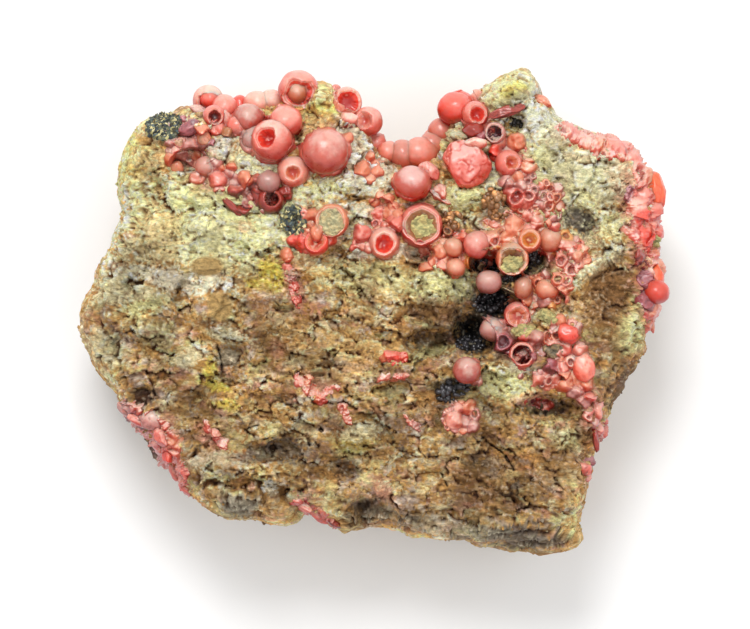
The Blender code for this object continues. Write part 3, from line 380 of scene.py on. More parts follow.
def face_height(xy, waver=0.0):
    """Height of the rock's front before its rim is rounded."""
    spots = lift(xy * (0.20, 0.24), 0.0)
    if waver:
        spots = spots + waver * many(noise.noise_vector, lift(xy * 0.9, 1.0)) * (1.0, 1.0, 0.0)
    cells = nearest_cells(spots)
    tilts = many(noise.cell_vector, cells * 7.3) - 0.5
    facet = ((spots - cells) * tilts)[:, :2].sum(axis=1)
    height = FRONT_HEIGHT + FACET_TILT * facet
    height += SMALL_LUMPS * many(noise.fractal, lift(xy * 0.36, 2.0), 1.0, 2.0, 3)
    height += BROAD_WAVE * many(noise.noise, lift(xy * 0.07, 9.0))
    for feature in LUMPS:
        reach = np.minimum(oval(xy, feature), 1.0)
        height += feature[5] * (1.0 - reach * reach) ** 1.5
    for feature in PITS:
        reach = np.minimum(oval(xy, feature), 1.0)
        height -= feature[5] * (1.0 - reach ** 4)
    return height


def rim_round(xy, high):
    """Heights with the rim rounded down to the outline."""
    distance, _ = outline_place(xy)
    edge = np.clip(distance / local_value(xy, SLOPES, RIM_ROUND), 0.0, 1.0)
    low = widest_height(xy)
    return low + (high - low) * np.sqrt(1.0 - (1.0 - edge) ** 2)


def plain_height(xy):
    """Height of the rock's front as the CAD has it."""
    return rim_round(xy, face_height(xy))


def chips(points, size, shift):
    """Broken chips with their own tilts: how far each place stands out, in units of the chips."""
    spots = points @ SLANT * size + shift
    spots = spots + 0.22 * many(noise.noise_vector, spots * 1.7)
    cells = nearest_cells(spots)
    tilts = many(noise.cell_vector, cells * 5.1 + shift) - 0.5
    return ((spots - cells) * tilts).sum(axis=1)


def relief(points):
    """How far the broken surface stands out of its plain shape, at many places."""
    streaks = many(noise.fractal, points @ SLANT * (0.34, 0.80, 0.70), 0.8, 2.1, 5)
    blocks = many(noise.fractal, points * 0.42 + 7.0, 0.9, 2.0, 3)
    crumbs = many(noise.fractal, points * 1.9 + 30.0, 0.5, 2.0, 3)
    pits = many(noise.noise, points * (0.8, 1.2, 1.0) + 50.0)
    rough = 0.35 + 0.85 * soft(0.5 + 1.3 * many(noise.noise, points * 0.17 + 70.0))
    stand = 1.40 * chips(points, LARGE_CHIPS, 3.0) + 0.20 * blocks
    fine = 0.42 * chips(points, SMALL_CHIPS, 13.0) + 0.22 * streaks + 0.14 * crumbs
    stand += rough * fine
    stand -= 0.4 * soft((pits - 0.56) / 0.2) + 0.30 * thin_cracks(points)
    return MOST_RELIEF * np.tanh(stand / MOST_RELIEF)


def thin_cracks(points):
    """Share of fine winding cracks at many places."""
    winding = np.abs(many(noise.noise, points @ SLANT * (0.40, 1.05, 0.9) + 60.0))
    where = many(noise.noise, points * 0.33 + 40.0)
    return soft((0.045 - winding) / 0.04) * soft((where + 0.05) / 0.25)


def crack_depth(xy):
    """Depth of the drawn cracks at many points."""
    depth = np.zeros(len(xy))
    wobble = 0.30 * many(noise.noise, lift(xy * 1.3, 3.0)) - 0.12
    for width, deep, line in CRACKS:
        for start, end in zip(line, line[1:]):
            distance, _ = line_distance(xy, start, end)
            depth = np.maximum(depth, deep * soft((width + wobble - distance) / width))
    return depth


def smooth_share(xy):
    """Share of the smooth faces at many points."""
    share = np.zeros(len(xy))
    for face in SMOOTH_FACES:
        share = np.maximum(share, soft((1.0 - oval(xy, face)) / 0.25))
    return share


def edges_of(faces):
    """The three edges of every triangle."""
    return np.concatenate([faces[:, [0, 1]], faces[:, [1, 2]], faces[:, [2, 0]]])


def tube(rows, count):
    """Triangles between rows of points that go round, as many in each row."""
    here = np.arange(count)
    after = (here + 1) % count
    faces = []
    for row in range(rows - 1):
        a, b = row * count + here, row * count + after
        faces += [np.column_stack([a, b, a + count]), np.column_stack([b, b + count, a + count])]
    return np.concatenate(faces)


def hollowness(faces, stand):
    """How far each point lies below its surroundings, over a small and a larger reach."""
    pairs = edges_of(faces)
    ends, others = np.concatenate([pairs, pairs[:, ::-1]]).T
    total = np.maximum(np.bincount(ends, minlength=len(stand)), 1)

    def evened(values, rounds):
        for _ in range(rounds):
            around = np.bincount(ends, weights=values[others], minlength=len(stand)) / total
            values = 0.5 * (values + around)
        return values

    here = evened(stand, 1)
    return evened(here, NEAR_ROUNDS) - here, evened(here, WIDE_ROUNDS) - here


def rock_tint(points, near, wide, level):
    """Colour of the rock at many places.

    near and wide tell how hollow they are, for painted shade in hollows and painted highlight on
    raised places, and level is the share of the front."""
    xy = points[:, :2]
    c = {name: rgb(*value) for name, value in ROCK.items()}
    slant = points @ SLANT
    streaks = many(noise.fractal, slant * (0.24, 0.62, 0.6) + 11.0, 0.6, 2.2, 5)
    broad = many(noise.fractal, points * 0.10 + 5.0, 1.0, 2.0, 3)
    grain = many(noise.fractal, points * 2.2 + 17.0, 0.4, 2.0, 3)
    tint = mix(c["ochre"], c["tan"], soft(0.5 + 0.9 * streaks + 0.5 * grain))
    for name, size, shift, least, most in VARIETY:
        place = many(noise.fractal, slant * (0.6 * size, size, size) + shift, 0.8, 2.0, 3)
        tint = mix(tint, c[name], most * soft((place + 0.35 * grain - least) / 0.28))
    tint = mix(tint, c["brown"], 0.45 * soft(0.0 - 1.1 * broad - 0.8 * streaks))
    edge = 0.45 * streaks + 0.4 * grain
    for patch in PATCHES:
        share = patch[6] * soft((1.12 - oval(xy, patch) + edge) / 0.45) * level
        tint = mix(tint, c[patch[5]] * (1.0 + 0.25 * grain[:, None]), share)
    tint = mix(tint, c["white"], 0.30 * soft((grain + 0.7 * streaks - 0.50) / 0.3))
    # Painted highlight: raised places lighter
    tint = mix(tint, np.minimum(tint * 1.5 + 0.05, 0.9), 0.85 * soft((-near - 0.01) / 0.08))
    # Painted shade: small and wide hollows darker
    tint = mix(tint, tint * rgb(*NEAR_HOLLOW_SHADE), 0.95 * soft((near - 0.02) / 0.10))
    tint = mix(tint, tint * rgb(*WIDE_HOLLOW_SHADE), 0.95 * soft((wide - 0.04) / 0.30))
    tint = tint * (1.0 + 0.45 * many(noise.noise, points * 0.24 + 80.0) + 0.25 * broad)[:, None]
    upper = soft((xy[:, 1] - 3.0) / 12.0)
    tint = tint * (1.0 + 0.24 * upper * level)[:, None]
    # Painted shade: thin cracks darker and drawn cracks black, for the shade in them
    tint = mix(tint, c["dark"], 0.6 * thin_cracks(points))
    crack = crack_depth(xy) * level
    tint = mix(tint, c["black"], 0.7 * soft(crack / 0.6))
    return mix(tint, rgb(*SMOOTH_COLOUR), 0.92 * (smooth_share(xy) * level))


def outline_normals(loop):
    """Outward direction at each point of a clockwise loop."""
    before, after = np.roll(loop, 1, axis=0), np.roll(loop, -1, axis=0)
    return unit(np.column_stack([before[:, 1] - after[:, 1], after[:, 0] - before[:, 0]]))


def inner_loop(loop, rounds, inset, rough, seed):
    """A loop smoothed and drawn in from another one, with a rough edge."""
    for _ in range(rounds):
        loop = (np.roll(loop, 1, axis=0) + 2.0 * loop + np.roll(loop, -1, axis=0)) / 4.0
    depth = inset + rough * many(noise.noise, lift(loop * 0.16, seed))
    return loop - outline_normals(loop) * depth[:, None]


def spread_points(loop, spacing, margin, seed):
    """Jittered points of a triangular grid, inside a loop and clear of it."""
    rng = np.random.default_rng(seed)
    loop = np.array(loop)
    low, high = loop.min(axis=0), loop.max(axis=0)
    rows = np.arange(low[1], high[1], spacing * math.sqrt(3.0) / 2.0)
    grid = []
    for number, y in enumerate(rows):
        xs = np.arange(low[0] + (number % 2) * spacing / 2.0, high[0], spacing)
        grid.append(np.column_stack([xs, np.full(len(xs), y)]))
    grid = np.concatenate(grid)
    grid += rng.uniform(-0.22, 0.22, grid.shape) * spacing
    grid = grid[inside(grid, loop.tolist())]
    nearest = np.full(len(grid), 1e9)
    for start, end in zip(np.roll(loop, 1, axis=0), loop):
        nearest = np.minimum(nearest, line_distance(grid, start, end)[0])
    return grid[nearest > margin]


def triangulate(loop, points):
    """Triangles that fill a loop and use the given inner points."""
    count = len(loop)
    places = [Vector(point) for point in list(loop) + list(points)]
    edges = [(i, (i + 1) % count) for i in range(count)]
    _, _, faces, origin, _, _ = delaunay_2d_cdt(places, edges, [], 1, 1e-4)
    return np.array([[origin[corner][0] for corner in face] for face in faces])


def split(points, faces):
    """Every triangle cut in four."""
    pairs = np.sort(edges_of(faces), axis=1)
    edges, index = np.unique(pairs, axis=0, return_inverse=True)
    index = index.reshape(-1) + len(points)
    points = np.concatenate([points, (points[edges[:, 0]] + points[edges[:, 1]]) / 2.0])
    ab, bc, ca = np.split(index, 3)
    a, b, c = faces.T
    corners = [(a, ab, ca), (ab, b, bc), (ca, bc, c), (ab, bc, ca)]
    return points, np.concatenate([np.column_stack(triangle) for triangle in corners])


def make_piece(name, points, faces, tint, finish, gloss=None, smooth=True):
    """A mesh object with a colour for each point, riding on the rock's body."""
    mesh = bpy.data.meshes.new(name)
    faces = np.asarray(faces)
    mesh.vertices.add(len(points))
    mesh.vertices.foreach_set("co", (np.asarray(points) * UNIT).astype(np.float32).ravel())
    mesh.loops.add(faces.size)
    mesh.loops.foreach_set("vertex_index", faces.ravel().astype(np.int32))
    mesh.polygons.add(len(faces))
    mesh.polygons.foreach_set("loop_start", np.arange(0, faces.size, 3, dtype=np.int32))
    mesh.update(calc_edges=True)
    mesh.validate()
    layer = mesh.color_attributes.new("tint", "FLOAT_COLOR", "POINT")
    gloss = np.ones(len(points)) if gloss is None else gloss
    colours = np.column_stack([np.clip(tint, 0, 1), gloss]).astype(np.float32)
    layer.data.foreach_set("color", colours.ravel())
    mesh.materials.append(finish)
    if smooth:
        mesh.shade_smooth()
    else:
        mesh.shade_flat()
    piece = bpy.data.objects.new(name, mesh)
    bpy.context.scene.collection.objects.link(piece)
    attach(piece, "root")
    return piece


def fine_outline():
    """The outline with its segments cut up, once coarsely and once as finely as the split mesh."""
    coarse, fine = [], []
    count = len(OUTLINE)
    for i in range(count):
        start, end = np.array(OUTLINE[i]), np.array(OUTLINE[(i + 1) % count])
        cuts = max(1, round(np.linalg.norm(end - start) / COARSE_GRID))
        coarse += [start + (end - start) * k / cuts for k in range(cuts)]
        fine += [(i, k / (4 * cuts)) for k in range(4 * cuts)]
    return np.array(coarse), fine


def plain_front(xy):
    """Places of the rock's plain front over points of the plane, and the way it faces."""
    distance, outward = outline_place(xy)
    width = local_value(xy, SLOPES, RIM_ROUND)
    angle = np.clip(distance / width, 0.0, 1.0) * math.pi / 2.0
    shift = np.where(distance < width, distance - width * (1.0 - np.cos(angle)), 0.0)
    moved = xy + outward * shift[:, None]
    low = widest_height(moved)
    high = face_height(moved, 0.10)
    points = np.column_stack([moved, low + (high - low) * np.sin(angle)])
    return points, np.column_stack([outward * np.cos(angle)[:, None], np.sin(angle)])


def front_points(xy):
    """Places of the rock's rough front over points of the plane, and how far they stand out."""
    points, facing = plain_front(xy)
    moved = points[:, :2]
    stand = relief(points) * (0.36 + 0.64 * facing[:, 2])
    stand = stand * (1.0 - 0.85 * smooth_share(moved)) - crack_depth(moved)
    points = points + facing * stand[:, None]
    for (x, y, z), radius in cup_places():
        reach = np.hypot(points[:, 0] - x, points[:, 1] - y)
        under = z - np.sqrt(np.maximum(radius ** 2 - reach ** 2, 0.0)) - 0.05
        points[:, 2] = np.where(reach < 0.8 * radius, np.minimum(points[:, 2], under), points[:, 2])
    return points, stand


def stand_on(places, radii, lifts):
    """Middles of balls that stand on the rock."""
    xy = np.array(places, dtype=float)
    reach = 0.45 * np.asarray(radii)[:, None]
    total, share = plain_height(xy), np.ones(len(xy))
    for step in ((1.0, 0.0), (-1.0, 0.0), (0.0, 1.0), (0.0, -1.0)):
        near = xy + reach * np.array(step)
        within = inside(near, OUTLINE)
        total = total + np.where(within, plain_height(near), 0.0)
        share = share + within
    return np.column_stack([xy, total / share + lifts])


def middles_of(rows):
    """Middles of balls or cups."""
    radii = [row[3] for row in rows]
    return stand_on([row[1:3] for row in rows], radii, [row[3] * row[4] for row in rows])


@functools.cache
def cup_places():
    """Middles and radii of the broken balls, which the rock doesn't fill."""
    return [(tuple(middle), row[3]) for row, middle in zip(CUPS, middles_of(CUPS))]


@functools.cache
def front_mesh():
    """Points of the plane that the rock's front is drawn over, and their triangles."""
    coarse, _ = fine_outline()
    inner = spread_points(coarse, COARSE_GRID, 0.55 * COARSE_GRID, 3)
    flat = np.concatenate([coarse, inner])
    faces = triangulate(coarse, inner)
    for _ in range(2):
        flat, faces = split(flat, faces)
    one, two = flat[faces[:, 1]] - flat[faces[:, 0]], flat[faces[:, 2]] - flat[faces[:, 0]]
    if (one[:, 0] * two[:, 1] - one[:, 1] * two[:, 0]).sum() < 0.0:
        faces = faces[:, ::-1]
    return flat, faces


@functools.cache
def front_places():
    """Where the points of the front's mesh lie on the plain rock, and the way they face."""
    return plain_front(front_mesh()[0])


def rock_front(finish):
    """The rough front of the rock."""
    flat, faces = front_mesh()
    points, stand = front_points(flat)
    rim = soft(1.0 - outline_place(flat)[0] / RIM_ROUND)
    upward = soft(front_places()[1][:, 2] / 0.9)
    near, wide = hollowness(faces, stand)
    tint = rock_tint(points, near * upward, wide * (0.3 + 0.7 * upward), np.ones(len(points)))
    # Painted light: the front brighter towards the outline, where its rim rounds away from the lights
    tint = tint * (1.0 + 0.4 * rim[:, None])
    piece = make_piece("rock_front", points, faces, tint, finish)
    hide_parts("matrix")


def curve(before, start, end, after, t):
    """A smooth curve through rows of points, from start to end."""
    return 0.5 * (2 * start + (end - before) * t + (2 * before - 5 * start + 4 * end - after) * t ** 2
                  + (3 * start - before - 3 * end + after) * t ** 3)


def side_columns():
    """Rings of points round the rock, from its widest level down to its back."""
    loop = np.array(OUTLINE)
    level = widest_height(loop)
    rings = [np.column_stack([loop, level])]
    for seed, (rounds, inset, rough, share) in enumerate(SIDE_RINGS):
        ring = inner_loop(loop, rounds, inset, rough, 5.0 + seed)
        jitter = 1.0 + 0.3 * many(noise.noise, lift(loop * 0.2, 20.0 + seed))
        rings.append(np.column_stack([ring, level * share * jitter]))
    _, fine = fine_outline()
    index = np.array([i for i, _ in fine])
    part = np.array([f for _, f in fine])[:, None]
    return [ring[index] * (1.0 - part) + np.roll(ring, -1, axis=0)[index] * part for ring in rings]


def rock_sides(finish):
    """The sides of the rock and its cut back."""
    columns = side_columns()
    rim = columns[0][:, :2]
    count = len(rim)
    top, outward = front_points(rim)[0], outline_place(rim)[1]
    last = len(columns) - 1
    steps = np.linspace(0.0, float(last), SIDE_ROWS)
    padded = [columns[0]] + columns + [columns[-1]]
    rows = []
    for step in steps:
        k = min(int(step), last - 1)
        rows.append(curve(*padded[k:k + 4], step - k))
    points = np.concatenate(rows)
    share = np.repeat(steps / float(last), count)
    stand = 0.7 * relief(points) * soft((1.0 - share) / 0.12)
    facing = np.tile(np.column_stack([outward, np.zeros(count)]), (SIDE_ROWS, 1))
    points = points + facing * stand[:, None]
    join = soft(1.0 - share / 0.06)[:, None]
    joined = points + np.tile(top, (SIDE_ROWS, 1)) - np.tile(points[:count], (SIDE_ROWS, 1))
    points = points * (1.0 - join) + join * joined
    edge = points[-count:, :2]
    inner = spread_points(edge[::4], BACK_GRID, BACK_BEVEL, 6)
    lowest = (SIDE_ROWS - 1) * count + np.arange(count)
    base = np.concatenate([lowest, len(points) + np.arange(len(inner))])
    faces = np.concatenate([tube(SIDE_ROWS, count), base[triangulate(edge, inner)]])
    points = np.concatenate([points, lift(inner, 0.0)])
    none = np.zeros(len(inner))
    stand = np.concatenate([stand, none])
    level = np.concatenate([soft(1.0 - share / 0.25), none])
    tint = rock_tint(points, *hollowness(faces, stand), level)
    piece = make_piece("rock_sides", points, faces, tint, finish)
    fix_normals(piece)
    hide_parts("matrix")


def fix_normals(piece):
    """Turn a piece's faces outwards."""
    shell = bmesh.new()
    shell.from_mesh(piece.data)
    bmesh.ops.recalc_face_normals(shell, faces=shell.faces)
    lowest = min(shell.faces, key=lambda face: face.calc_center_median().z)
    if lowest.normal.z > 0.0:
        bmesh.ops.reverse_faces(shell, faces=shell.faces)
    shell.to_mesh(piece.data)
    shell.free()


def by_node(groups):
    """The rows of a table, each with the name of its node first."""
    return [(node, *row) for node, rows in groups for row in rows]


# Skins of the rhodochrosite: colour of the body, of its deep side (painted shade) and of its dusted
# side (dust with painted highlight)
SKINS = {
    "rose": ((214, 106, 90), (172, 36, 26), (238, 196, 180)),
    "silk": ((222, 108, 92), (204, 42, 20), (246, 206, 196)),
    "coral": ((240, 126, 102), (206, 66, 46), (246, 196, 178)),
    "ember": ((240, 96, 54), (206, 50, 22), (244, 160, 120)),
    "pink": ((222, 142, 122), (188, 70, 54), (242, 214, 198)),
    "red": ((226, 70, 50), (176, 26, 16), (240, 168, 150)),
    "orange": ((214, 126, 92), (178, 50, 26), (236, 198, 172)),
    "amber": ((216, 136, 66), (170, 74, 28), (238, 206, 150)),
    "dark": ((150, 46, 34), (80, 12, 10), (198, 116, 98)),
    "dusk": ((194, 128, 118), (138, 64, 56), (224, 198, 182)),
    "wine": ((150, 70, 74), (88, 24, 32), (204, 154, 156)),
    "brown": ((166, 104, 66), (104, 52, 30), (208, 172, 130)),
    "stone": ((164, 150, 114), (100, 86, 62), (206, 200, 166)),
}

# Whole balls: x, y, radius, stand-off of the middle in radii, skin, share of dust and painted
# highlight on the upper side
BALLS = by_node([
    ("upper_left", [
        (-22.1, 28.7, 1.6, 0.7, "red", 0.5), (-20.1, 27.4, 2, 0.2, "rose", 0.5),
        (-18.2, 28.4, 1.2, 0.4, "red", 0.2), (-15.8, 28.1, 1.8, 0.25, "pink", 0.6),
        (-13.8, 28.4, 1.7, 0.25, "pink", 0.8), (-16.9, 26, 2.3, 0.4, "rose", 1),
        (-18.4, 24.9, 1.5, 0.1, "rose", 0.2), (-10.4, 29.6, 1.6, 0.95, "orange", 0.75),
        (-11.8, 25.6, 2.3, 0.6, "rose", 0.45), (-15.9, 23.2, 2.2, 0.2, "dusk", 0.6),
        (-6.5, 21.5, 3.3, 0.7, "rose", 0.75), (-3.5, 23.4, 0.8, 0.8, "orange", 0.2),
        (-17.3, 17.7, 1.2, 0.4, "orange", 0.2), (-14.1, 17.4, 1.6, 0.3, "dusk", 0.35),
        (-11.9, 15.9, 1.1, 0.1, "dark", 0.1), (-19.7, 24.1, 0.8, 0.5, "brown", 0.2),
        (-22.6, 19.5, 1.5, 0.5, "pink", 0.4), (-21, 17.8, 1.2, 0.6, "rose", 0.4),
        (-19, 19.4, 0.7, 0.3, "orange", 0.2), (-20.4, 19.3, 0.55, 0.5, "orange", 0.2),
        (-23, 24.1, 1.1, 0.2, "orange", 0.2), (-24.6, 22.2, 1.1, 0.2, "dusk", 0.3),
        (-27.2, 20.6, 1.1, 0.2, "orange", 0.2), (-17.6, 13.8, 1.1, 0.1, "dark", 0.2),
        (-21.2, 24.6, 1.3, 0, "rose", 0.3),
    ]),
    ("top", [
        (-5.2, 29.9, 0.8, 0.3, "rose", 0.3), (-3.3, 25.9, 1.2, 0.2, "pink", 0.7),
        (0.2, 22.8, 1.4, 0.3, "rose", 0.3), (0.9, 24.6, 1, 0.2, "rose", 0.2),
        (-0.4, 20.8, 0.75, 0.4, "orange", 0.3), (-1.6, 19.1, 1.2, 0.4, "orange", 0.15),
        (0.5, 18.8, 0.85, 0.3, "orange", 0.3), (0.4, 20, 0.5, 0.4, "orange", 0.4),
        (1.9, 21.5, 1.8, 0.7, "coral", 0.4), (3.9, 21.2, 2.1, 0.8, "coral", 0.5),
        (6.2, 21.4, 2.3, 0.8, "coral", 0.5), (8, 22.6, 2.1, 0.6, "coral", 0.4),
        (9, 24.4, 1.8, 0.5, "coral", 0.3), (11, 27.4, 2.5, 0.6, "red", 0.35),
        (13.9, 28.8, 1, 0.2, "pink", 0.3), (13.2, 24.6, 1.4, 0.2, "dark", 0.1),
        (19.1, 22.9, 1.3, 0.2, "orange", 0.35), (16.4, 21.4, 1.3, 0.4, "red", 0.3),
        (17, 22.6, 1, 0.4, "pink", 0.9), (17.7, 17.3, 1.1, 0.2, "dusk", 0.6),
        (19.2, 18, 0.9, 0.2, "orange", 0.4), (5.1, 17.4, 2.5, 0.7, "silk", 0.9),
        (8.9, 16, 1.1, 0.2, "pink", 0.8),
    ]),
    ("centre_cups", [
        (-1.5, 10.7, 1.3, 0.3, "rose", 0.4), (0.1, 14.9, 0.85, 0.3, "orange", 0.3),
        (2, 15.2, 0.85, 0.3, "orange", 0.35), (2.6, 14.2, 0.8, 0.3, "orange", 0.3),
        (1.9, 13.3, 0.8, 0.3, "orange", 0.2), (2.2, 12.5, 0.7, 0.3, "rose", 0.3),
        (3.2, 13.3, 0.8, 0.5, "orange", 0.2), (3.2, 11.8, 1.2, 0.1, "rose", 0.2),
    ]),
    ("ring", [
        (-8, 12.6, 1.4, 0.2, "orange", 0.2), (-7.4, 10.6, 1.2, 0.2, "orange", 0.1),
        (-9.6, 9.3, 1, 0.1, "red", 0.2), (-11.8, 7.6, 1, 0.3, "orange", 0.2),
    ]),
    ("band", [
        (7.2, 6.3, 1.2, 0.3, "orange", 0.4), (8.9, 8, 1, 0.2, "orange", 0.4),
        (10.6, 8.6, 1.5, 0.3, "orange", 0.7), (13.7, 9, 1.9, 0.4, "rose", 0.6),
        (16.2, 11.8, 0.8, 0.3, "pink", 0.4), (18.8, 11.4, 1.4, 0.3, "orange", 0.45),
        (18, 9.9, 1.2, 0.3, "orange", 0.5), (23.6, 9.7, 1.9, 0.4, "orange", 0.7),
        (26.3, 9, 1, 0.3, "pink", 0.4), (27.3, 7.4, 0.9, 0.2, "orange", 0.5),
        (10.9, 5.9, 1.5, 0.3, "orange", 0.6), (12.7, 6.8, 0.9, 0.8, "amber", 0.3),
        (21.9, 12.2, 1.1, 0.1, "pink", 0.5),
    ]),
    ("hollow_rim", [
        (15.4, 4, 1.7, 1.4, "dusk", 0.6), (14.3, 6.2, 0.7, 2, "stone", 0.4),
        (17.9, 2.9, 1.1, 1.2, "stone", 0.4), (20, 3.2, 1.5, 0.5, "orange", 0.65),
        (20.2, 1.6, 1, 0.4, "orange", 0.3), (23.2, 3, 1.6, 0.3, "orange", 0.4),
        (25.2, 2.7, 0.9, 0.2, "orange", 0.5), (22.8, 1.6, 1.2, 0.2, "dusk", 0.3),
        (15.9, -2.3, 1.9, 0.7, "dusk", 0.6), (21.6, -3.4, 1.2, 0.3, "dusk", 0.5),
        (25, -1.1, 0.9, 0.3, "orange", 0.3), (27.7, -5, 1.1, 0.3, "pink", 0.6),
        (23.8, -7.4, 1.2, 0.3, "wine", 0.6), (25.5, -9.5, 1.4, 0.3, "orange", 0.6),
        (28.6, -9.6, 1, 0.3, "orange", 0.3), (29.1, -11.4, 1, 0.2, "rose", 0.5),
        (30.1, -13.3, 1, 0.2, "pink", 0.4), (21.8, -9.2, 1, 0.1, "pink", 0.5),
        (28.5, -21.1, 1, 0.1, "rose", 0.4),
    ]),
    ("lone_ball", [
        (12.4, -7.8, 1.9, 0.5, "rose", 1), (13.7, -9.2, 0.9, 0.5, "dusk", 0.6),
    ]),
    ("lower_patch", [
        (12.7, -12.7, 1.1, 0.1, "orange", 0.4), (10.9, -14.5, 1.3, 0.1, "pink", 0.5),
    ]),
    ("right_edge", [
        (26.4, 24.6, 1.4, 0, "rose", 0.5), (28.4, 23.4, 1.2, 0, "pink", 0.6),
        (30.4, 23.3, 1, 0, "pink", 0.4), (32.6, 22.4, 1.45, 0.1, "rose", 0.5),
        (35.2, 20.3, 1.45, 0.2, "rose", 0.5), (36.9, 18.3, 1.4, 0.3, "orange", 0.4),
        (36.2, 15.6, 1.45, 0.1, "rose", 0.4), (38, 13.5, 1.45, 0.3, "rose", 0.4),
        (35.9, 13, 1.3, 0.2, "red", 0.3), (38.2, 10.8, 1.2, 0.4, "silk", 0.3),
        (36.4, 10.1, 1.4, 0.2, "red", 0.3), (37.8, 8.3, 1.2, 0.3, "orange", 0.3),
        (35.6, 7.2, 1.2, 0.1, "dark", 0.2), (38.3, 5.8, 1.4, 0.4, "orange", 0.2),
        (36.2, 4.2, 1.45, 0.2, "wine", 0.5), (38.1, 2.7, 1.8, 0.5, "red", 0.2),
        (36.4, 1.4, 1.3, 0.2, "wine", 0.3), (37.4, 0, 1.2, 0.3, "orange", 0.4),
        (36.8, -2, 1.1, 0.2, "orange", 0.3),
    ]),
])

# Broken balls: x, y, radius, stand-off, way the opening faces, opening in degrees, wall,
# bowl depth in radii or 0 for hollow, outer skin, inner skin, dust and painted highlight
CUPS = by_node([
    ("upper_left", [
        (-22.4, 28.6, 2.1, 0.3, (-0.1, -0.25, 1), 44, 0.5, 0.5, "pink", "red", 0.8),
        (-21.5, 26.3, 1.5, 0.5, (0.2, -0.1, 1), 46, 0.25, 0.5, "rose", "dark", 0.3),
        (-10.2, 29.9, 2.7, 0.3, (0.1, -0.35, 1), 58, 0.5, 0.2, "rose", "red", 0.55),
        (-13.7, 23, 2.8, 0.7, (-0.42, 0.2, 1), 34, 0.45, 0.5, "rose", "red", 0.9),
        (-10.8, 18.8, 2.1, 0.4, (-0.05, -0.1, 1), 31, 0.2, 0.35, "pink", "orange", 0.5),
        (-13.9, 15, 1.95, 0.3, (0.15, 0.1, 1), 36, 0.35, 0, "dark", "dark", 0.2),
    ]),
    ("top", [
        (-3.7, 28.3, 2.1, 0.3, (0.1, -0.05, 1), 62, 0.25, 0.25, "pink", "red", 0.3),
        (-0.8, 25.7, 2, 0.3, (-0.35, 0.1, 1), 38, 0.3, 0.3, "rose", "pink", 0.6),
        (13.6, 26.5, 1.8, 0.7, (0.25, 0.05, 1), 44, 0.3, 0.5, "rose", "red", 0.3),
        (16.2, 24, 1.5, 0.5, (-0.15, 0, 1), 55, 0.3, 0, "dusk", "wine", 0.5),
        (18, 19.9, 1.85, 0.4, (0.4, 0.15, 1), 34, 0.25, 0.4, "rose", "orange", 0.3),
        (19.1, 15.3, 1.4, 0.2, (0, 0.2, 1), 52, 0.3, 0.3, "rose", "dark", 0.4),
    ]),
    ("centre_cups", [
        (6.3, 11.6, 2.9, 0.35, (0.05, 0, 1), 58, 0.35, 0.34, "rose", "brown", 0.4),
        (1.3, 9.2, 2.1, 0.5, (0, -0.05, 1), 46, 0.3, 0.5, "pink", "red", 0.6),
        (9.8, 10.9, 0.9, 0.4, (0, 0, 1), 50, 0.2, 0, "brown", "dark", 0.3),
    ]),
    ("ring", [
        (-5.6, 12.2, 2.3, 0.1, (-0.2, 0, 1), 62, 0.4, 0.1, "orange", "stone", 0.25),
        (-7.7, 9.2, 1.7, 0.2, (-0.2, 0.5, 1), 60, 0.3, 0.3, "red", "orange", 0.3),
    ]),
    ("band", [
        (20.8, 9.6, 1.6, 0.4, (0, 0.15, 1), 50, 0.25, 0.5, "orange", "amber", 0.5),
        (16.2, 9.4, 1.05, 0.3, (0, 0.1, 1), 52, 0.2, 0, "pink", "brown", 0.6),
        (18.5, 7.1, 2.25, 0.9, (0, -0.2, 1), 60, 0.25, 0.3, "orange", "brown", 0.6),
        (25.1, 7, 0.95, 0.2, (0, 0.1, 1), 55, 0.2, 0, "pink", "dark", 0.4),
    ]),
    ("hollow_rim", [
        (22, 3.9, 0.9, 0.5, (0, 0, 1), 48, 0.2, 0, "orange", "brown", 0.3),
        (19.2, -0.4, 1.8, 0.5, (0.1, -0.2, 1), 54, 0.3, 0.2, "rose", "orange", 0.5),
        (17.3, -4, 1.45, 0.6, (0.1, 0, 1), 52, 0.25, 0, "wine", "dark", 0.4),
        (19.8, -5.8, 1.8, 0.3, (0, 0.2, 1), 55, 0.25, 0, "rose", "dark", 0.4),
        (24, -4.9, 1.3, 0.2, (0, 0, 1), 58, 0.3, 0.2, "pink", "stone", 0.5),
    ]),
])

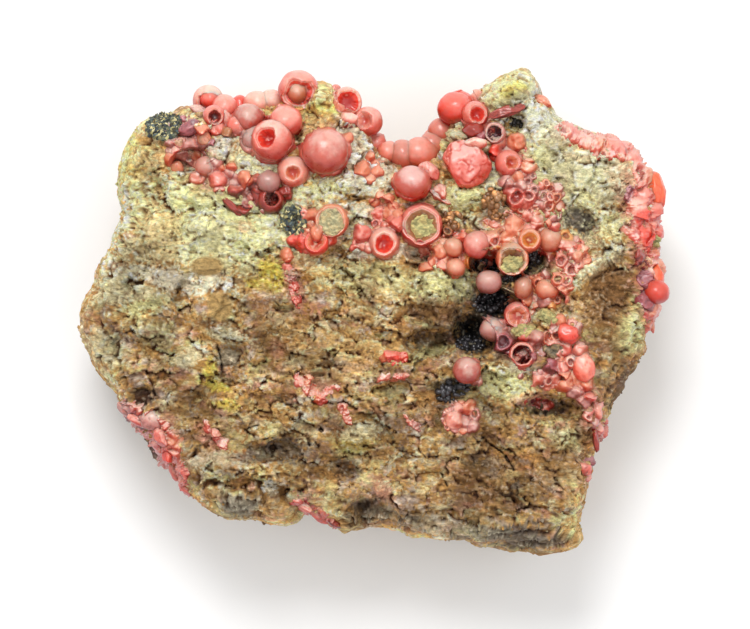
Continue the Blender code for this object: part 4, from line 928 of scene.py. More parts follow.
# Crusts of small balls between the large ones: x, y, half length, half width, turn, how many,
# least and largest radius, skins, share of broken ones
FIELDS = by_node([
    ("band", [
        (12, 8.2, 5.4, 2.5, 0, 50, 0.4, 1, "orange pink rose coral", 0.35),
        (20.2, 10.4, 6, 2.5, -8, 58, 0.4, 1, "orange pink rose amber", 0.35),
        (26, 8, 3, 2.4, -30, 28, 0.4, 0.9, "orange pink dusk coral", 0.35),
    ]),
    ("hollow_rim", [
        (22.8, 3, 3.6, 2.2, 0, 36, 0.4, 0.9, "orange pink dusk amber", 0.35),
        (19.6, 0.6, 1.8, 1.8, 0, 14, 0.4, 0.8, "orange rose", 0.3),
        (19.6, -4.4, 3.4, 1.6, -20, 26, 0.4, 0.9, "dusk wine rose brown", 0.35),
        (25.4, -3, 2.6, 2.2, 0, 20, 0.4, 0.8, "orange rose dusk", 0.3),
        (26.6, -8, 2.6, 3.4, 20, 34, 0.4, 0.9, "orange pink rose dusk", 0.3),
        (29.4, -13.6, 1.2, 3.6, 14, 26, 0.4, 0.8, "pink rose dusk", 0.2),
        (22, -9, 2.6, 1, -20, 12, 0.3, 0.7, "pink dusk", 0.3),
        (22.2, -12.2, 1.8, 0.7, -5, 8, 0.3, 0.6, "dark wine rose", 0),
        (28.4, -21, 1, 1.8, 0, 12, 0.4, 0.8, "rose pink wine", 0),
    ]),
    ("top", [
        (19.4, 18.4, 1.9, 5.4, 8, 44, 0.4, 0.9, "orange rose dusk pink", 0.4),
        (22.6, 14.4, 2.6, 3.2, -30, 22, 0.35, 0.7, "orange dusk pink", 0.5),
        (14.4, 24.4, 2.4, 1.4, 0, 12, 0.4, 0.8, "dark rose wine", 0.3),
    ]),
    ("veins", [
        (-8.6, -10.2, 2.8, 0.8, -40, 10, 0.3, 0.6, "rose orange pink", 0),
        (-6, -10.6, 1.8, 0.6, 24, 6, 0.3, 0.6, "rose pink", 0),
        (3, -6.2, 1.7, 0.9, 6, 6, 0.4, 0.7, "red orange", 0),
        (2.4, -8.8, 2.2, 0.6, 10, 6, 0.3, 0.6, "pink rose", 0),
        (-21.2, -16.6, 2.6, 0.6, -52, 8, 0.3, 0.6, "rose pink", 0),
        (-4, -13.6, 1.8, 0.6, -60, 5, 0.3, 0.5, "pink", 0),
        (5, -14.6, 2, 0.5, -50, 6, 0.3, 0.5, "pink dusk", 0),
        (-10.8, 3.6, 0.8, 3.2, 14, 7, 0.3, 0.5, "rose dusk", 0),
    ]),
    ("top", [
        (-0.2, 19.6, 1.6, 1.8, 0, 10, 0.35, 0.7, "orange", 0.1),
    ]),
    ("right_edge", [
        (36.4, 12, 2.4, 8, 6, 90, 0.7, 1.4, "rose coral orange pink silk rose wine", 0.15),
        (30.8, 22.6, 6.4, 2.1, -16, 60, 0.5, 1.1, "pink rose orange dusk silk", 0.15),
        (37.2, 1.8, 1.8, 4.8, 6, 50, 0.7, 1.3, "rose ember silk orange pink", 0.15),
    ]),
    ("upper_left", [
        (-25, 22.8, 3.2, 2.8, 0, 40, 0.35, 0.9, "dusk orange wine rose", 0.3),
        (-21.8, 18.6, 3, 1.8, -30, 24, 0.4, 0.9, "pink rose dusk", 0.2),
        (-16.2, 16, 3.4, 2, -34, 28, 0.35, 0.9, "dark rose dusk", 0.3),
        (-18.4, 25.4, 4, 1.8, 0, 14, 0.7, 1.2, "rose", 0),
    ]),
    ("ring", [
        (-8.4, 10.6, 2.8, 2.8, 0, 26, 0.4, 0.9, "orange red rose", 0.2),
    ]),
    ("centre_cups", [
        (1.8, 13.2, 2, 2.8, 0, 16, 0.4, 0.8, "orange rose", 0.1),
        (-0.6, 9.6, 2.8, 1.4, 0, 12, 0.4, 0.8, "rose pink", 0.2),
    ]),
    ("lower_patch", [
        (11.4, -14, 2.4, 2, 0, 22, 0.3, 0.8, "pink orange dusk", 0.2),
    ]),
    ("lower_left_seam", [
        (-31, -14.4, 4.2, 1.8, -34, 34, 0.5, 1.1, "dusk wine rose pink", 0.1),
        (-27, -19.6, 1.7, 5.2, 24, 40, 0.5, 1, "rose pink wine orange", 0.1),
    ]),
    ("bottom_seam", [
        (-7.8, -26.6, 3.8, 1.3, -34, 24, 0.5, 0.9, "pink orange rose", 0.1),
    ]),
])

# Broken and crumpled lumps: x, y, stand-off in mm, half sizes, turn, skin, dust and painted
# highlight, crumple
LUMPY = by_node([
    ("top", [
        (12.3, 19.9, 2, (3.5, 3.3, 3.3), 0, "silk", 0.65, 0.34),
        (11.2, 23.6, 1.3, (1.5, 0.9, 1.1), -10, "stone", 0.8, 0.3),
        (17.8, 26.9, 0.6, (2.6, 0.8, 0.8), 16, "dark", 0.3, 0.25),
        (7.4, 18.9, 0.5, (1.7, 1.1, 1.2), -40, "rose", 0.7, 0.2),
        (8.9, 15.4, 0.2, (1.9, 0.5, 0.8), -36, "pink", 0.8, 0.2),
        (13.6, 22.6, 1.6, (1.6, 0.9, 1.2), 0, "pink", 1, 0.3),
    ]),
    ("upper_left", [
        (-19.5, 14.6, 0.1, (2.6, 0.6, 0.7), -46, "dark", 0.2, 0.3),
        (-22.8, 23.2, 0.2, (1, 1.4, 0.9), 20, "orange", 0.3, 0.3),
        (-24.6, 24.6, 0.2, (1.7, 1.2, 0.8), 20, "wine", 0.4, 0.3),
        (-26.6, 19.4, 0.1, (1, 1.2, 0.7), 20, "orange", 0.2, 0.3),
        (-23.6, 27.2, 0.4, (1.3, 0.7, 0.7), -16, "dusk", 0.9, 0.3),
        (-10.9, 27, 0.8, (1.5, 0.35, 0.6), 12, "amber", 0.3, 0.2),
        (-15.6, 15.6, 0.1, (0.8, 1.8, 0.7), 20, "dark", 0.1, 0.3),
    ]),
    ("ring", [
        (-8.2, 11.6, 0.2, (1, 1.8, 0.8), 14, "orange", 0.3, 0.2),
    ]),
    ("lower_patch", [
        (13.2, -13, 0, (0.4, 1.5, 0.6), 20, "orange", 0.2, 0.25),
    ]),
    ("right_edge", [
        (38, 16.2, 0.2, (1.5, 2.8, 1.8), 6, "ember", 0.2, 0.16),
        (38.2, 4.6, 0.2, (1.1, 2.2, 1.5), 8, "ember", 0.2, 0.18),
        (37.5, -1.4, 0, (0.5, 1.6, 1), 10, "orange", 0.4, 0.25),
    ]),
    ("hollow_rim", [
        (25.9, -2.9, 0.6, (1.7, 1.5, 1.5), -20, "red", 0.3, 0.24),
        (28.1, -7.4, 0.5, (1.6, 2.2, 1.6), 12, "coral", 0.7, 0.16),
        (29.8, -17, 0, (0.5, 2.2, 0.9), 10, "dark", 0.1, 0.25),
    ]),
    ("peak_flake", [
        (22.6, 28.5, 0.4, (1.6, 0.8, 0.9), -24, "orange", 0.3, 0.3),
    ]),
    ("lower_left_seam", [
        (-33.6, -13.2, 0.4, (1.5, 0.7, 1.1), -38, "dusk", 0.4, 0.25),
        (-31.6, -14.6, 0.4, (1.9, 0.8, 1.2), -26, "rose", 0.6, 0.25),
        (-29.8, -14.6, 0.3, (1.6, 1.6, 1.1), -30, "dusk", 0.7, 0.25),
        (-28.6, -16.8, 0.4, (0.9, 1.6, 1.1), 26, "rose", 0.7, 0.3),
        (-27.8, -19.2, 0.4, (0.8, 1.6, 1), 14, "red", 0.4, 0.3),
        (-26.9, -21.6, 0.4, (0.8, 1.5, 1), 24, "rose", 0.7, 0.3),
        (-25.6, -23.8, 0.3, (0.7, 1.4, 0.9), 40, "rose", 0.6, 0.3),
    ]),
    ("bottom_seam", [
        (-9.6, -26, 0.3, (1.5, 0.7, 0.8), -36, "pink", 0.9, 0.25),
        (-7.4, -27.5, 0.3, (1.7, 0.8, 0.9), -34, "rose", 0.7, 0.25),
        (-5.3, -28.5, 0.3, (1.1, 0.6, 0.9), -30, "dark", 0.3, 0.25),
    ]),
])

# Bits of rock on and between the crystals: x, y, stand-off in mm, half sizes, turn, colour
ROCK_BITS = [
    (6.5, 11.3, 1.3, (2.1, 2, 0.9), 0, "green"), (-5.6, 12.1, 0.5, (1.7, 1.9, 0.8), 0, "pale"),
    (18.5, 6.3, 2, (1.8, 1.3, 1.2), 0, "green"), (11, 23.6, 1.6, (1.4, 0.9, 1), -8, "cream"),
    (20.2, -2.6, 0.3, (1.7, 0.9, 0.8), -6, "green"), (24, -5, 0.7, (1.3, 1, 0.7), 0, "grey"),
    (23.2, -0.6, 0.2, (1.5, 0.8, 0.8), -24, "green"), (37.9, 9.6, 0.8, (0.9, 0.7, 0.7), 0, "green"),
]

# Black and brown knobs: x, y, half length, half width, turn, how many, least and largest radius,
# whether black
KNOBS = [
    (15.8, 1.2, 2.4, 1.3, 0, 90, 0.22, 0.45, True), (21.2, 6.8, 1.5, 1.2, 20, 34, 0.2, 0.4, True),
    (15.2, 6.2, 2, 1, -30, 24, 0.2, 0.36, True), (18.6, 4.7, 1.3, 0.7, 24, 22, 0.2, 0.36, True),
    (12.8, -4.3, 2, 1, 0, 40, 0.22, 0.42, True), (10.6, -10.4, 2.4, 1.4, 20, 60, 0.2, 0.45, True),
    (16.3, 14.4, 1.7, 2.2, 0, 60, 0.25, 0.5, False),
    (10.6, 12.4, 1.4, 1.6, 0, 30, 0.25, 0.45, False), (19.2, 25.4, 1, 0.6, 10, 14, 0.2, 0.4, True),
]
BLACK_KNOBS = (20, 19, 21), (30, 29, 30)      # darkest colour, and how much lighter some are
BROWN_KNOBS = (110, 74, 44), (60, 46, 30)

# Flaky metallic patches: node, x, y, half length, half width, turn, how many flakes
FLAKES = [
    ("metallic_patch_upper_left", -28.2, 25, 2.5, 1.9, 10, 520),
    ("metallic_patch_centre", -10.8, 12.2, 1.7, 1.9, 0, 380),
]
FLAKE_SHADES = [
    (86, 92, 74), (58, 66, 60), (112, 108, 74), (40, 42, 38), (172, 162, 108), (84, 98, 98),
    (70, 66, 48), (206, 194, 140), (50, 60, 62),
]

DUST_AND_LIGHT_SIDE = np.array([0.05, 0.62, 0.78])     # the side of the balls painted paler, as dust and as painted highlight from the key light; the far side gets the deep colour as painted shade
AXES = [Vector((9.0, 0.0, 0.0)), Vector((0.0, 9.0, 0.0)), Vector((0.0, 0.0, 9.0))]
LARGE = 1.5               # balls and cups from this radius up are shapes of their own, mm
FACETS = 22               # broken faces of a crumpled lump
INSIDE = 2.0              # marks the points inside a broken ball
NO_PIT = (0.0, 0.0)
TRIES = 6                 # draws for each small ball that a field may hold
APART = 0.54              # least distance between balls, in sums of their radii
FUSE = 0.17               # over this height neighbours in the crust run together, mm

# How many times as far they run together on some nodes, and how flat the crust is there
SMEARED = {"right_edge": 2.4, "lower_left_seam": 2.6, "bottom_seam": 2.2, "band": 1.25, "veins": 2.2}
FLATTENED = {"right_edge": 0.80, "lower_left_seam": 0.75, "bottom_seam": 0.70, "veins": 0.8}
PINK_NODES = {"upper_left", "band", "hollow_rim", "lone_ball", "lower_patch", "bottom_seam"}

# Shader values of the rhodochrosite
CLEAR_SKIN = {
    "Subsurface Weight": 0.5, "Subsurface Radius": (1.0, 0.26, 0.16), "Subsurface Scale": 0.0014,
    "Coat Weight": 0.3, "Coat Roughness": 0.12, "Specular IOR Level": 0.55,
}

# The stage, in metres. Lights: place, width, watts
LIGHTS = {
    "key": ((-0.07, 0.34, 0.57), 0.24, 2.6),
    "fill": ((0.30, -0.10, 0.60), 0.50, 0.7),
}
LIGHT_TARGET = (0.0, 0.0, 0.02)
WORLD_STRENGTH = 0.76
FLOOR_REACH = 3
FLOOR_LEVEL = -2e-5
FLOOR_COLOUR = (0.93, 0.93, 0.93, 1.0)
SENSOR_WIDTH = 36.0       # mm
CAMERA_PLACE = (0.000135, -0.00034, 0.822)
CAMERA_REACH = 0.800      # from the camera to the level that is VIEW_WIDTH wide in the picture
VIEW_WIDTH = 0.10125


def unit_sphere(level):
    """Points and triangles of a ball of radius 1."""
    shell = bmesh.new()
    bmesh.ops.create_icosphere(shell, subdivisions=level, radius=1.0)
    shell.verts.index_update()
    points = np.array([vertex.co[:] for vertex in shell.verts])
    faces = np.array([[vertex.index for vertex in face.verts] for face in shell.faces])
    shell.free()
    return points, faces


SPHERES = {level: unit_sphere(level) for level in (1, 2, 3, 4, 5)}


class Heap:
    """Points, triangles, colours and gloss that make up one piece."""

    def __init__(self):
        self.points, self.faces, self.tints, self.gloss, self.count = [], [], [], [], 0

    def add(self, points, faces, tint, gloss):
        """Add one closed shape."""
        self.points.append(points)
        self.faces.append(faces + self.count)
        self.tints.append(np.clip(tint, 0.0, 1.0))
        self.gloss.append(np.broadcast_to(gloss, len(points)))
        self.count += len(points)

    def make(self, name, finish, slot, nodes=(), smooth=True):
        """Turn what was added into a piece."""
        piece = make_piece(name, np.concatenate(self.points), np.concatenate(self.faces),
                           np.concatenate(self.tints), finish, np.concatenate(self.gloss), smooth)
        if nodes:
            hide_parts(*nodes)


@functools.cache
def skin_colours(name):
    """Linear colours of one skin: its body, its deep side and its dusted side."""
    return np.array([rgb(*value) for value in SKINS[name]])


def skin_tint(facing, points, colours, dust_and_highlight):
    """Colours of a crystal skin: the deep colour below as painted shade, paler on its upper side as
    dust and painted highlight, and slightly uneven.
    """
    body, deep, pale = (np.broadcast_to(colours[..., k, :], facing.shape) for k in range(3))
    up = facing @ DUST_AND_LIGHT_SIDE
    blotch = many(noise.noise, points * 0.8 + 4.0)
    fine = many(noise.fractal, points * 2.2 + 8.0, 0.7, 2.0, 3)
    # Painted shade: the deep colour on the side away from the light. Painted highlight, with the
    # dust, on the upper side.
    tint = mix(body, deep, soft((0.72 - up + 0.38 * blotch + 0.18 * fine) / 1.05))
    share = dust_and_highlight * soft((up - 0.42 + 0.30 * blotch + 0.14 * fine) / 0.55)
    return mix(tint, pale, 0.85 * share), share


def ball(heap, centre, radius, skin, dust_and_highlight):
    """A whole ball, a little uneven."""
    points, faces = SPHERES[4 if radius < 1.9 else 5]
    stretch = 1.0 + 0.10 * np.array([noise.cell(centre + shift) - 0.5 for shift in AXES])
    swell = 1.0 + 0.07 * many(noise.noise, points * 1.3 + centre)
    swell = swell + 0.015 * many(noise.noise, points * 4.0 + centre)
    placed = centre + points * stretch * (radius * swell)[:, None]
    tint, share = skin_tint(points, placed, skin_colours(skin), dust_and_highlight)
    tone = 1.0 + 0.22 * (noise.cell(centre * 3.0) - 0.5)
    heap.add(placed, faces, tint * tone, 1.0 - share)


def frame_of(axis):
    """Three directions at right angles, the last along an axis."""
    axis = Vector(axis).normalized()
    side = axis.cross(Vector((0.0, 1.0, 0.0))).normalized()
    return np.array([side, axis.cross(side), axis])


def cup(heap, centre, radius, axis, opening, wall, bowl, skin, inner, dust_and_highlight):
    """A broken ball: its shell up to a ragged rim, and the hollow or bowl inside."""
    basis = frame_of(axis)
    around = np.linspace(0.0, math.tau, CUP_TURNS, endpoint=False)
    circle = np.column_stack([np.cos(around), np.sin(around), np.zeros(CUP_TURNS)])
    ragged = many(noise.fractal, circle * 1.3 + centre, 0.8, 2.0, 4)
    edge = math.radians(opening) * (1.0 + 0.20 * ragged + 0.06 * np.cos(around - 2.0))
    inner_radius = radius - wall * (1.0 + 0.3 * ragged)
    # Rows from the bottom up and back down inside: reach, height, place in the shell, depth inside
    rows = []
    for t in np.linspace(0.0, 1.0, SHELL_ROWS):
        angle = math.pi + (edge - math.pi) * t
        rows.append((radius * np.sin(angle), radius * np.cos(angle), 0.0, 0.0))
    for t in np.linspace(0.2, 1.0, RIM_ROWS):
        reach = radius - wall * t * (1.0 + 0.3 * ragged)
        rows.append((reach * np.sin(edge), reach * np.cos(edge), t, 0.0))
    for t in np.linspace(0.08, 1.0, BOWL_ROWS):
        if bowl:
            reach = inner_radius * np.sin(edge) * (1.0 - t)
            level = inner_radius * np.cos(edge)
            level = level + (level.mean() - level) * soft(1.6 * t)
            high = level - bowl * radius * (1.0 - (1.0 - t) ** 2)
        else:
            angle = edge + (math.pi - edge) * t
            reach, high = inner_radius * np.sin(angle), inner_radius * np.cos(angle)
        rows.append((reach, high, INSIDE, t))
    up = (0.0, 0.0, 1.0)
    local = np.concatenate([circle * row[0][:, None] + np.outer(row[1], up) for row in rows])
    shell, depth = np.repeat([row[2:] for row in rows], CUP_TURNS, axis=0).T
    facing = unit(local, 1e-6) @ basis
    placed = centre + local @ basis
    placed = placed + facing * (0.03 * radius * many(noise.noise, placed * 0.9))[:, None]
    body, deep, pale = skin_colours(inner)
    outer = skin_colours(skin)
    tint, share = skin_tint(facing, placed, outer, dust_and_highlight)
    rim_tint = mix(np.tile(outer[2], (len(local), 1)), outer[0], 0.5 + 0.4 * np.cos(shell * 9.0))
    tint = mix(tint, rim_tint, ((shell > 0.0) & (shell < INSIDE)) * 0.85)
    streak = many(noise.noise, placed * 1.7 + 3.0)
    # Painted shade: the inside turns to the deep colour further down the hollow
    inside_tint = mix(np.tile(body, (len(local), 1)), deep, soft(depth * 1.5 + 0.5 * streak))
    inside_tint = mix(inside_tint, pale, 0.5 * soft((streak - 0.25) / 0.3))
    tint = mix(tint, inside_tint, (shell >= INSIDE) * 1.0)
    gloss = np.where(shell > 0.0, 0.9, 1.0 - 0.75 * share)
    heap.add(placed, tube(len(rows), CUP_TURNS), tint, gloss)


def lumpy(heap, centre, sizes, turn, skin, dust_and_highlight, crumple, seed):
    """A broken lump with facets and creases."""
    points, faces = SPHERES[5 if max(sizes) > 2.5 else 4 if max(sizes) > 0.9 else 3]
    rng = np.random.default_rng(seed)
    planes = unit(rng.normal(size=(FACETS, 3)))
    reach = rng.uniform(1.0 - crumple, 1.0, FACETS)
    lean = points @ planes.T
    flat = np.where(lean > 0.05, reach / np.maximum(lean, 0.05), 9.0).min(axis=1)
    crease = soft(1.0 - np.abs(many(noise.noise, points * 1.9 + seed)) / 0.10)
    radius = np.minimum(1.0, flat) - crumple * 0.22 * crease
    radius += 0.10 * crumple * many(noise.fractal, points * 3.0 + seed, 0.7, 2.0, 4)
    placed = centre + (points * radius[:, None] * np.array(sizes)) @ spin_matrix(turn)
    colours = skin_colours(skin)
    tint, share = skin_tint(vertex_normals(placed, faces), placed, colours, dust_and_highlight)
    # Painted shade: creases turned to the deep colour
    heap.add(placed, faces, mix(tint, colours[1], 0.6 * crease), 1.0 - 0.7 * share)


def vertex_normals(points, faces):
    """Which way a surface faces at each of its points."""
    corners = points[faces]
    across = np.cross(corners[:, 1] - corners[:, 0], corners[:, 2] - corners[:, 0])
    total = np.zeros_like(points)
    for corner in range(3):
        np.add.at(total, faces[:, corner], across)
    return unit(total, 1e-9)


def crust_seeds():
    """Balls and cells of the fused crust for each node.

    A row is x, y, radius, stand-off, pit, skin, share of dust and painted highlight, and whether it
    was scattered. A pit is where it begins and how deep it is, both in radii. Large balls and cups,
    which are shapes of their own, only have a collar in the crust."""
    seeds = {}
    for node, x, y, radius, stand, skin, dust_and_highlight in BALLS:
        row = (x, y, radius, stand * radius, NO_PIT, skin, dust_and_highlight, False)
        if radius >= LARGE:
            sunk = (min(stand, 0.6) - 0.62) * radius
            row = (x, y, 1.06 * radius, sunk, NO_PIT, skin, 0.2, False)
        seeds.setdefault(node, []).append(row)
    for node, x, y, radius, stand, _, _, _, _, skin, _, dust_and_highlight in CUPS:
        row = (x, y, radius, stand * radius, (0.66, 0.9), skin, dust_and_highlight, False)
        if radius >= LARGE:
            row = (x, y, 1.08 * radius, (stand - 0.45) * radius, (0.90, 3.0), skin, 0.2, False)
        seeds.setdefault(node, []).append(row)
    rng = random.Random(11)
    for node, x, y, a, b, turn, count, least, largest, skins, broken in FIELDS:
        rows = seeds.setdefault(node, [])
        left = count
        for _ in range(TRIES * count):
            px, py = random_place(rng, x, y, a, b, turn)
            radius = 1.35 * (least + (largest - least) * rng.random())
            gaps = (math.hypot(px - row[0], py - row[1]) / (radius + row[2]) for row in rows)
            if left and min(gaps, default=9.0) > APART:
                left -= 1
                pit = NO_PIT
                if rng.random() < broken:
                    pit = (rng.uniform(0.5, 0.8), rng.uniform(0.5, 1.1))
                stand = radius * rng.uniform(-0.45, 0.25)
                skin = rng.choice(skins.split())
                rows.append((px, py, radius, stand, pit, skin, rng.uniform(0.35, 1.0), True))
    return seeds


def crust(heap, node, rows):
    """The fused crust of one node, draped over the rock: its small balls and cells run together."""
    flat, faces = front_mesh()
    middle = flat[faces].mean(axis=1)
    low = front_places()[0][faces].mean(axis=1)
    fields = [row[1:6] for row in FIELDS if row[0] == node]
    near = np.zeros(len(middle), dtype=bool)
    for field in fields:
        near |= oval(middle, field) < 1.4
    for x, y, radius, *_ in rows:
        near |= np.hypot(low[:, 0] - x, low[:, 1] - y) < 1.4 * radius + 0.5
    used, picked = np.unique(faces[near], return_inverse=True)
    xy, picked = split(flat[used], picked.reshape(-1, 3))
    base, facing = plain_front(xy)
    winding = many(noise.noise_vector, base * 0.7 + 5.0)[:, :2]
    fine = many(noise.fractal, base * (1.8, 1.8, 0.9) + 8.0, 0.7, 2.0, 3)
    warped = base + lift(0.26 * winding, 0.0)
    mask = np.zeros(len(xy))
    for field in fields:
        mask = np.maximum(mask, soft((1.15 - oval(xy, field) + 0.25 * fine) / 0.3))
    places = np.array([row[:2] for row in rows])
    scattered = np.array([row[7] for row in rows])
    upright = np.column_stack([places, plain_height(places)])
    anchors = np.where(scattered[:, None], plain_front(places)[0], upright)
    smear = SMEARED.get(node, 1.0)
    fuse = FUSE * smear
    total = np.exp(-0.9 / fuse) + mask * np.exp((0.6 * fine - 0.22 + 0.5 * (smear - 1.0)) / fuse)
    blend, blended, dust_and_highlight = np.full(len(xy), 1e-9), np.zeros((len(xy), 3, 3)), np.zeros(len(xy))
    best, second, pits = np.full(len(xy), -9.0), np.full(len(xy), -9.0), np.zeros(len(xy))
    for anchor, (_, _, radius, stand, (start, depth), skin, powder_and_highlight, _) in zip(anchors, rows):
        reach = np.linalg.norm(warped - anchor, axis=1) / radius
        round_top = np.sqrt(np.maximum(1.0 - reach * reach, 0.0))
        dome = np.where(reach < 1.0, round_top, 2.0 - 2.0 * reach)
        pit = soft((start - reach) / 0.18)
        high = FLATTENED.get(node, 0.9) * (stand + radius * (dome - depth * pit))
        mask = np.maximum(mask, soft((1.25 - reach) / 0.2))
        total += np.exp(np.maximum(high, -9.0) / fuse)
        second = np.maximum(second, np.minimum(best, high))
        weight = np.exp(np.maximum(high, -3.0) / 0.25)
        blend = blend + weight
        blended += weight[:, None, None] * skin_colours(skin)
        dust_and_highlight = dust_and_highlight + weight * powder_and_highlight
        pits = np.where(high > best, pit, pits)
        best = np.maximum(best, high)
    end = soft(facing[:, 2] / 0.2)
    height = (fuse * np.log(total) - 0.3 * (smear - 1.0) + 0.04 * fine) * mask * end
    height = height - 0.9 * (1.0 - mask) - 0.4 * (1.0 - end)
    points = base + facing * height[:, None]
    colours = blended / blend[:, None, None]
    tint, share = skin_tint(vertex_normals(points, picked), points, colours, dust_and_highlight / blend)
    # Painted shade: darker deep colour in clefts where balls meet and in the pits of broken cells
    cleft = soft((0.30 - (best - second)) / 0.30) * soft(1.2 - second)
    tint = mix(tint, 0.6 * colours[:, 1, :], 0.75 * np.maximum(cleft / smear ** 2, pits))
    tint = mix(tint, colours[:, 2, :], 0.5 * (pits * (1.0 - pits) * 4.0))
    keep = mask[picked].max(axis=1) > 0.02
    used, picked = np.unique(picked[keep], return_inverse=True)
    heap.add(points[used], picked.reshape(-1, 3), tint[used], 1.0 - share[used])


def crystals(finish):
    """Every piece of rhodochrosite, one for each CAD node, and the veins."""
    heaps = {}
    for table, shape in ((BALLS, ball), (CUPS, cup)):
        rows = [row for row in table if row[3] >= LARGE]
        for row, middle in zip(rows, middles_of(rows)):
            shape(heaps.setdefault(row[0], Heap()), middle, row[3], *row[5:])
    for node, rows in crust_seeds().items():
        crust(heaps.setdefault(node, Heap()), node, rows)
    least = [min(row[4]) for row in LUMPY]
    middles = stand_on([row[1:3] for row in LUMPY], least, [row[3] for row in LUMPY])
    for seed, (row, middle) in enumerate(zip(LUMPY, middles)):
        lumpy(heaps.setdefault(row[0], Heap()), middle, *row[4:], seed)
    for name, heap in heaps.items():
        slot = "rhodochrosite_pink" if name in PINK_NODES else "rhodochrosite_red"
        nodes = [] if name == "veins" else ["rhodochrosite_" + name]
        heap.make("crystals_" + name, finish, slot, nodes)


def knobs(finish):
    """The black botryoidal crust in the hollow, and brown knobs in other recesses."""
    rng = random.Random(5)
    heaps = {True: Heap(), False: Heap()}
    rows = []
    for x, y, a, b, turn, count, least, largest, black in KNOBS:
        for _ in range(count):
            place = random_place(rng, x, y, a, b, turn)
            rows.append((place, rng.uniform(least, largest), rng.uniform(0.0, 0.7), black))
    places, radii, lifts, _ = zip(*rows)
    points, faces = SPHERES[2]
    for (_, radius, _, black), middle in zip(rows, stand_on(places, radii, lifts)):
        shade = rng.random()
        least, span = BLACK_KNOBS if black else BROWN_KNOBS
        tint = rgb(*[low + high * shade for low, high in zip(least, span)])
        shape = points * [radius * rng.uniform(0.75, 1.35) for _ in range(3)]
        # Painted highlight: the knobs' upper sides lighter
        top = soft((points @ DUST_AND_LIGHT_SIDE - 0.4) / 0.6)[:, None]
        heaps[black].add(middle + shape, faces, tint * (1.0 + 1.6 * top * shade), 1.0)
    heaps[True].make("black_crust", finish, "goethite", ["goethite_crust"])
    heaps[False].make("brown_knobs", finish, "goethite")


def flakes(finish):
    """The flaky metallic patches."""
    rng = np.random.default_rng(8)
    points, faces = SPHERES[1]
    colours = [rgb(*shade) for shade in FLAKE_SHADES]
    for node, x, y, a, b, turn, count in FLAKES:
        heap = Heap()
        way, reach = rng.uniform(0.0, math.tau, count), np.sqrt(rng.random(count))
        dx, dy = a * reach * np.cos(way), b * reach * np.sin(way)
        places = np.column_stack(turned_place(x, y, dx, dy, turn))
        middles = stand_on(places, np.full(count, 0.5), rng.uniform(0.2, 0.7, count))
        for middle in middles + (0.0, 0.0, 0.25):
            sizes = rng.uniform((0.15, 0.12, 0.05), (0.46, 0.32, 0.14))
            tip = Matrix.Rotation(rng.uniform(0.0, math.tau), 3, "Z")
            for lean, axis in ((0.25, "X"), (0.22, "Y")):
                tip = tip @ Matrix.Rotation(rng.normal(0.0, lean), 3, axis)
            jag = rng.uniform(0.7, 1.3, (len(points), 1))
            placed = middle + (points * jag * sizes) @ np.array(tip).T
            tint = np.tile(colours[rng.integers(len(colours))], (len(points), 1))
            heap.add(placed, faces, tint, rng.uniform(0.3, 1.0))
        heap.make(node.replace("patch", "flakes"), finish, "metallic", [node], False)


def node_material(name):
    """A material with its shader, and a function that adds nodes."""
    finish = bpy.data.materials.new(name)
    finish.use_nodes = True
    tree = finish.node_tree
    shader = tree.nodes["Principled BSDF"]

    def add(kind, values=None, **links):
        node = tree.nodes.new("ShaderNode" + kind)
        for key, value in (values or {}).items():
            if key in node.inputs.keys():
                node.inputs[key].default_value = value
            else:
                setattr(node, key, value)
        for key, source in links.items():
            tree.links.new(source, node.inputs[key.replace("_", " ")])
        return node

    return finish, tree, shader, add


def tinted(name, speckle, roughness, bumps, grain_scale, values, stretch=(1.0, 1.0, 1.0), ridges=0.0):
    """A material that takes its main colour from the points, with fine grain and bumps of its own."""
    finish, tree, shader, add = node_material(name)
    tint = add("Attribute", {"attribute_name": "tint"})
    turned = {"Scale": stretch, "Rotation": (0.0, 0.0, 0.12)}
    place = add("Mapping", turned, Vector=add("TexCoord").outputs["Object"]).outputs["Vector"]
    grain = add("TexNoise", {"Scale": grain_scale, "Detail": 5.0, "Roughness": 0.7}, Vector=place)
    height = grain.outputs["Fac"]
    if ridges:
        pattern = {"noise_type": "RIDGED_MULTIFRACTAL", "Scale": 0.4 * grain_scale,
                   "Detail": 4.0, "Roughness": 0.6}
        ridge = add("TexNoise", pattern, Vector=place)
        scaled = add("Math", {"operation": "MULTIPLY"}, Value=ridge.outputs["Fac"])
        scaled.inputs[1].default_value = ridges
        joined = add("Math", {"operation": "ADD"}, Value=scaled.outputs["Value"])
        tree.links.new(height, joined.inputs[1])
        height = joined.outputs["Value"]
    middle = 0.5 + 0.22 * ridges
    span = {"From Min": middle - 0.2, "From Max": middle + 0.2,
            "To Min": 1.0 - speckle, "To Max": 1.0 + speckle}
    lighter = add("MapRange", span, Value=height).outputs["Result"]
    shade = add("VectorMath", {"operation": "SCALE"}, Vector=tint.outputs["Color"], Scale=lighter)
    tree.links.new(shade.outputs["Vector"], shader.inputs["Base Color"])
    span = {"To Min": roughness[0], "To Max": roughness[1]}
    rough = add("MapRange", span, Value=tint.outputs["Alpha"])
    uneven = add("Math", {"operation": "MULTIPLY_ADD"}, Value=grain.outputs["Fac"])
    tree.links.new(rough.outputs["Result"], uneven.inputs[2])
    uneven.inputs[1].default_value = 0.14
    tree.links.new(uneven.outputs["Value"], shader.inputs["Roughness"])
    bump = add("Bump", {"Strength": bumps[0], "Distance": bumps[1]}, Height=height)
    tree.links.new(bump.outputs["Normal"], shader.inputs["Normal"])
    for key, value in values.items():
        shader.inputs[key].default_value = value
    return finish


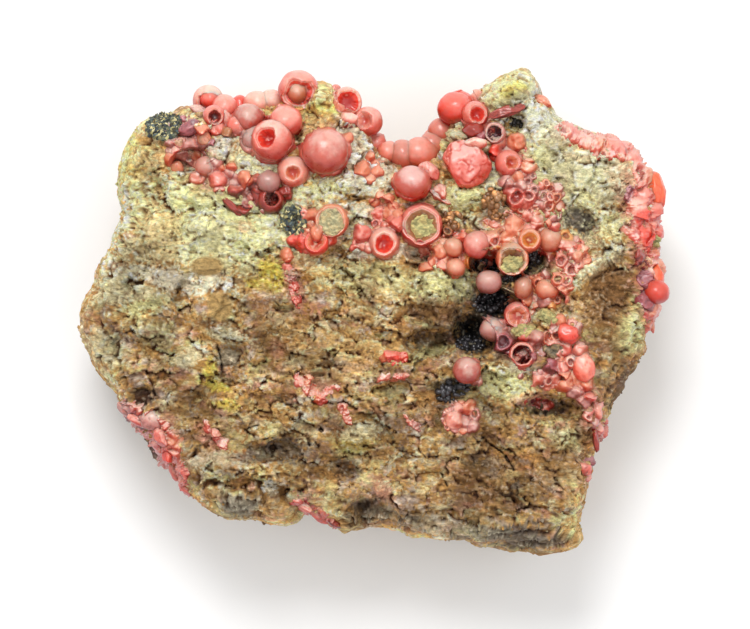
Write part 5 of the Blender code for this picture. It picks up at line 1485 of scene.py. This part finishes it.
def crumbs(finish):
    """Crumbs of rock that stand on the broken surface."""
    rng = np.random.default_rng(21)
    places = spread_points(OUTLINE, CRUMB_GRID, 0.8, 22)
    places = places[rng.random(len(places)) < CRUMB_SHARE]
    places = places[smooth_share(places) < 0.1]
    for (x, y, _), radius in cup_places():
        places = places[np.hypot(places[:, 0] - x, places[:, 1] - y) > radius]
    base = front_points(places)[0]
    none = np.zeros(len(base))
    points, faces = SPHERES[1]
    heap = Heap()
    for middle, colour in zip(base, rock_tint(base, none, none, none + 1.0)):
        size = rng.uniform(0.07, 0.26)
        jag = 1.0 + rng.uniform(-0.35, 0.3, len(points))
        shape = points * jag[:, None] * rng.uniform(0.5, 1.2, 3) * size
        tint = np.tile(colour * rng.uniform(0.8, 1.15), (len(points), 1))
        heap.add(middle + shape, faces, tint, 1.0)
    heap.make("rock_crumbs", finish, "matrix", (), False)


def rock_bits(finish):
    """Bits of rock that sit in the cups and on the crystals."""
    lifts = [row[2] for row in ROCK_BITS]
    middles = stand_on([row[:2] for row in ROCK_BITS], [0.5] * len(ROCK_BITS), lifts)
    points, faces = SPHERES[4]
    heap = Heap()
    for (_, _, _, sizes, turn, name), middle in zip(ROCK_BITS, middles):
        placed = middle + points * np.array(sizes) @ spin_matrix(turn)
        stand = many(noise.fractal, placed * 1.3 + 3.0, 0.4, 2.0, 4) + 1.5 * chips(placed, 0.9, 5.0)
        placed = placed + points * (0.30 * stand)[:, None]
        plain = np.tile(rgb(*ROCK[name]), (len(placed), 1))
        tint = mix(plain, rgb(*ROCK["ochre"]), 0.5 * soft(0.4 + stand))
        # Painted shade: low places of the bits darker
        tint = mix(tint, rgb(*ROCK["dark"]), 0.5 * soft(-stand / 0.5))
        heap.add(placed, faces, tint, 1.0)
    heap.make("rock_bits", finish, "matrix")


def light(name, place, size, energy):
    """A square soft white light aimed at the specimen."""
    lamp = bpy.data.lights.new(name, "AREA")
    lamp.size = size
    lamp.energy = energy
    holder = bpy.data.objects.new(name, lamp)
    holder.location = place
    aim = Vector(LIGHT_TARGET) - Vector(place)
    holder.rotation_euler = aim.to_track_quat("-Z", "Y").to_euler()
    bpy.context.scene.collection.objects.link(holder)


def stage():
    """Pale floor, soft light and a camera straight above the specimen."""
    mesh = bpy.data.meshes.new("floor")
    corners = [(-1, -1), (1, -1), (1, 1), (-1, 1)]
    places = [(x * FLOOR_REACH, y * FLOOR_REACH, FLOOR_LEVEL) for x, y in corners]
    mesh.from_pydata(places, [], [(0, 1, 2, 3)])
    finish, _, shader, _ = node_material("pale_floor")
    shader.inputs["Base Color"].default_value = FLOOR_COLOUR
    shader.inputs["Roughness"].default_value = 0.9
    mesh.materials.append(finish)
    floor = bpy.data.objects.new("floor", mesh)
    bpy.context.scene.collection.objects.link(floor)

    for name, row in LIGHTS.items():
        light(name, *row)
    world = bpy.data.worlds.new("studio")
    world.use_nodes = True
    world.node_tree.nodes["Background"].inputs["Color"].default_value = (1.0, 1.0, 1.0, 1.0)
    world.node_tree.nodes["Background"].inputs["Strength"].default_value = WORLD_STRENGTH
    bpy.context.scene.world = world
    bpy.context.scene.view_settings.view_transform = "Standard"

    camera = bpy.data.cameras.new("camera")
    camera.sensor_width = SENSOR_WIDTH
    camera.lens = SENSOR_WIDTH * CAMERA_REACH / VIEW_WIDTH
    camera.clip_start, camera.clip_end = 0.05, 5.0
    eye = bpy.data.objects.new("camera", camera)
    eye.location = CAMERA_PLACE
    bpy.context.scene.collection.objects.link(eye)
    bpy.context.scene.camera = eye


def build():
    """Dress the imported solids."""
    rock = tinted("weathered_rock", 0.42, (0.8, 0.8), (1.0, 0.0005), 2600.0,
                  {"Specular IOR Level": 0.25}, (0.55, 1.2, 1.1), 0.5)
    rock_front(rock)
    rock_sides(rock)
    crumbs(rock)
    rock_bits(rock)
    # Glassy and slightly translucent, rougher under the patches of dust and painted highlight
    crystals(tinted("rhodochrosite", 0.08, (0.44, 0.22), (0.15, 0.0001), 1400.0, CLEAR_SKIN))
    knobs(tinted("botryoidal_crust", 0.3, (0.5, 0.22), (0.3, 0.0001), 1800.0, {"Coat Weight": 0.3}))
    flakes(tinted("tarnished_flakes", 0.3, (0.55, 0.28), (0.4, 0.0001), 2200.0, {"Metallic": 0.2}))
    stage()


build()
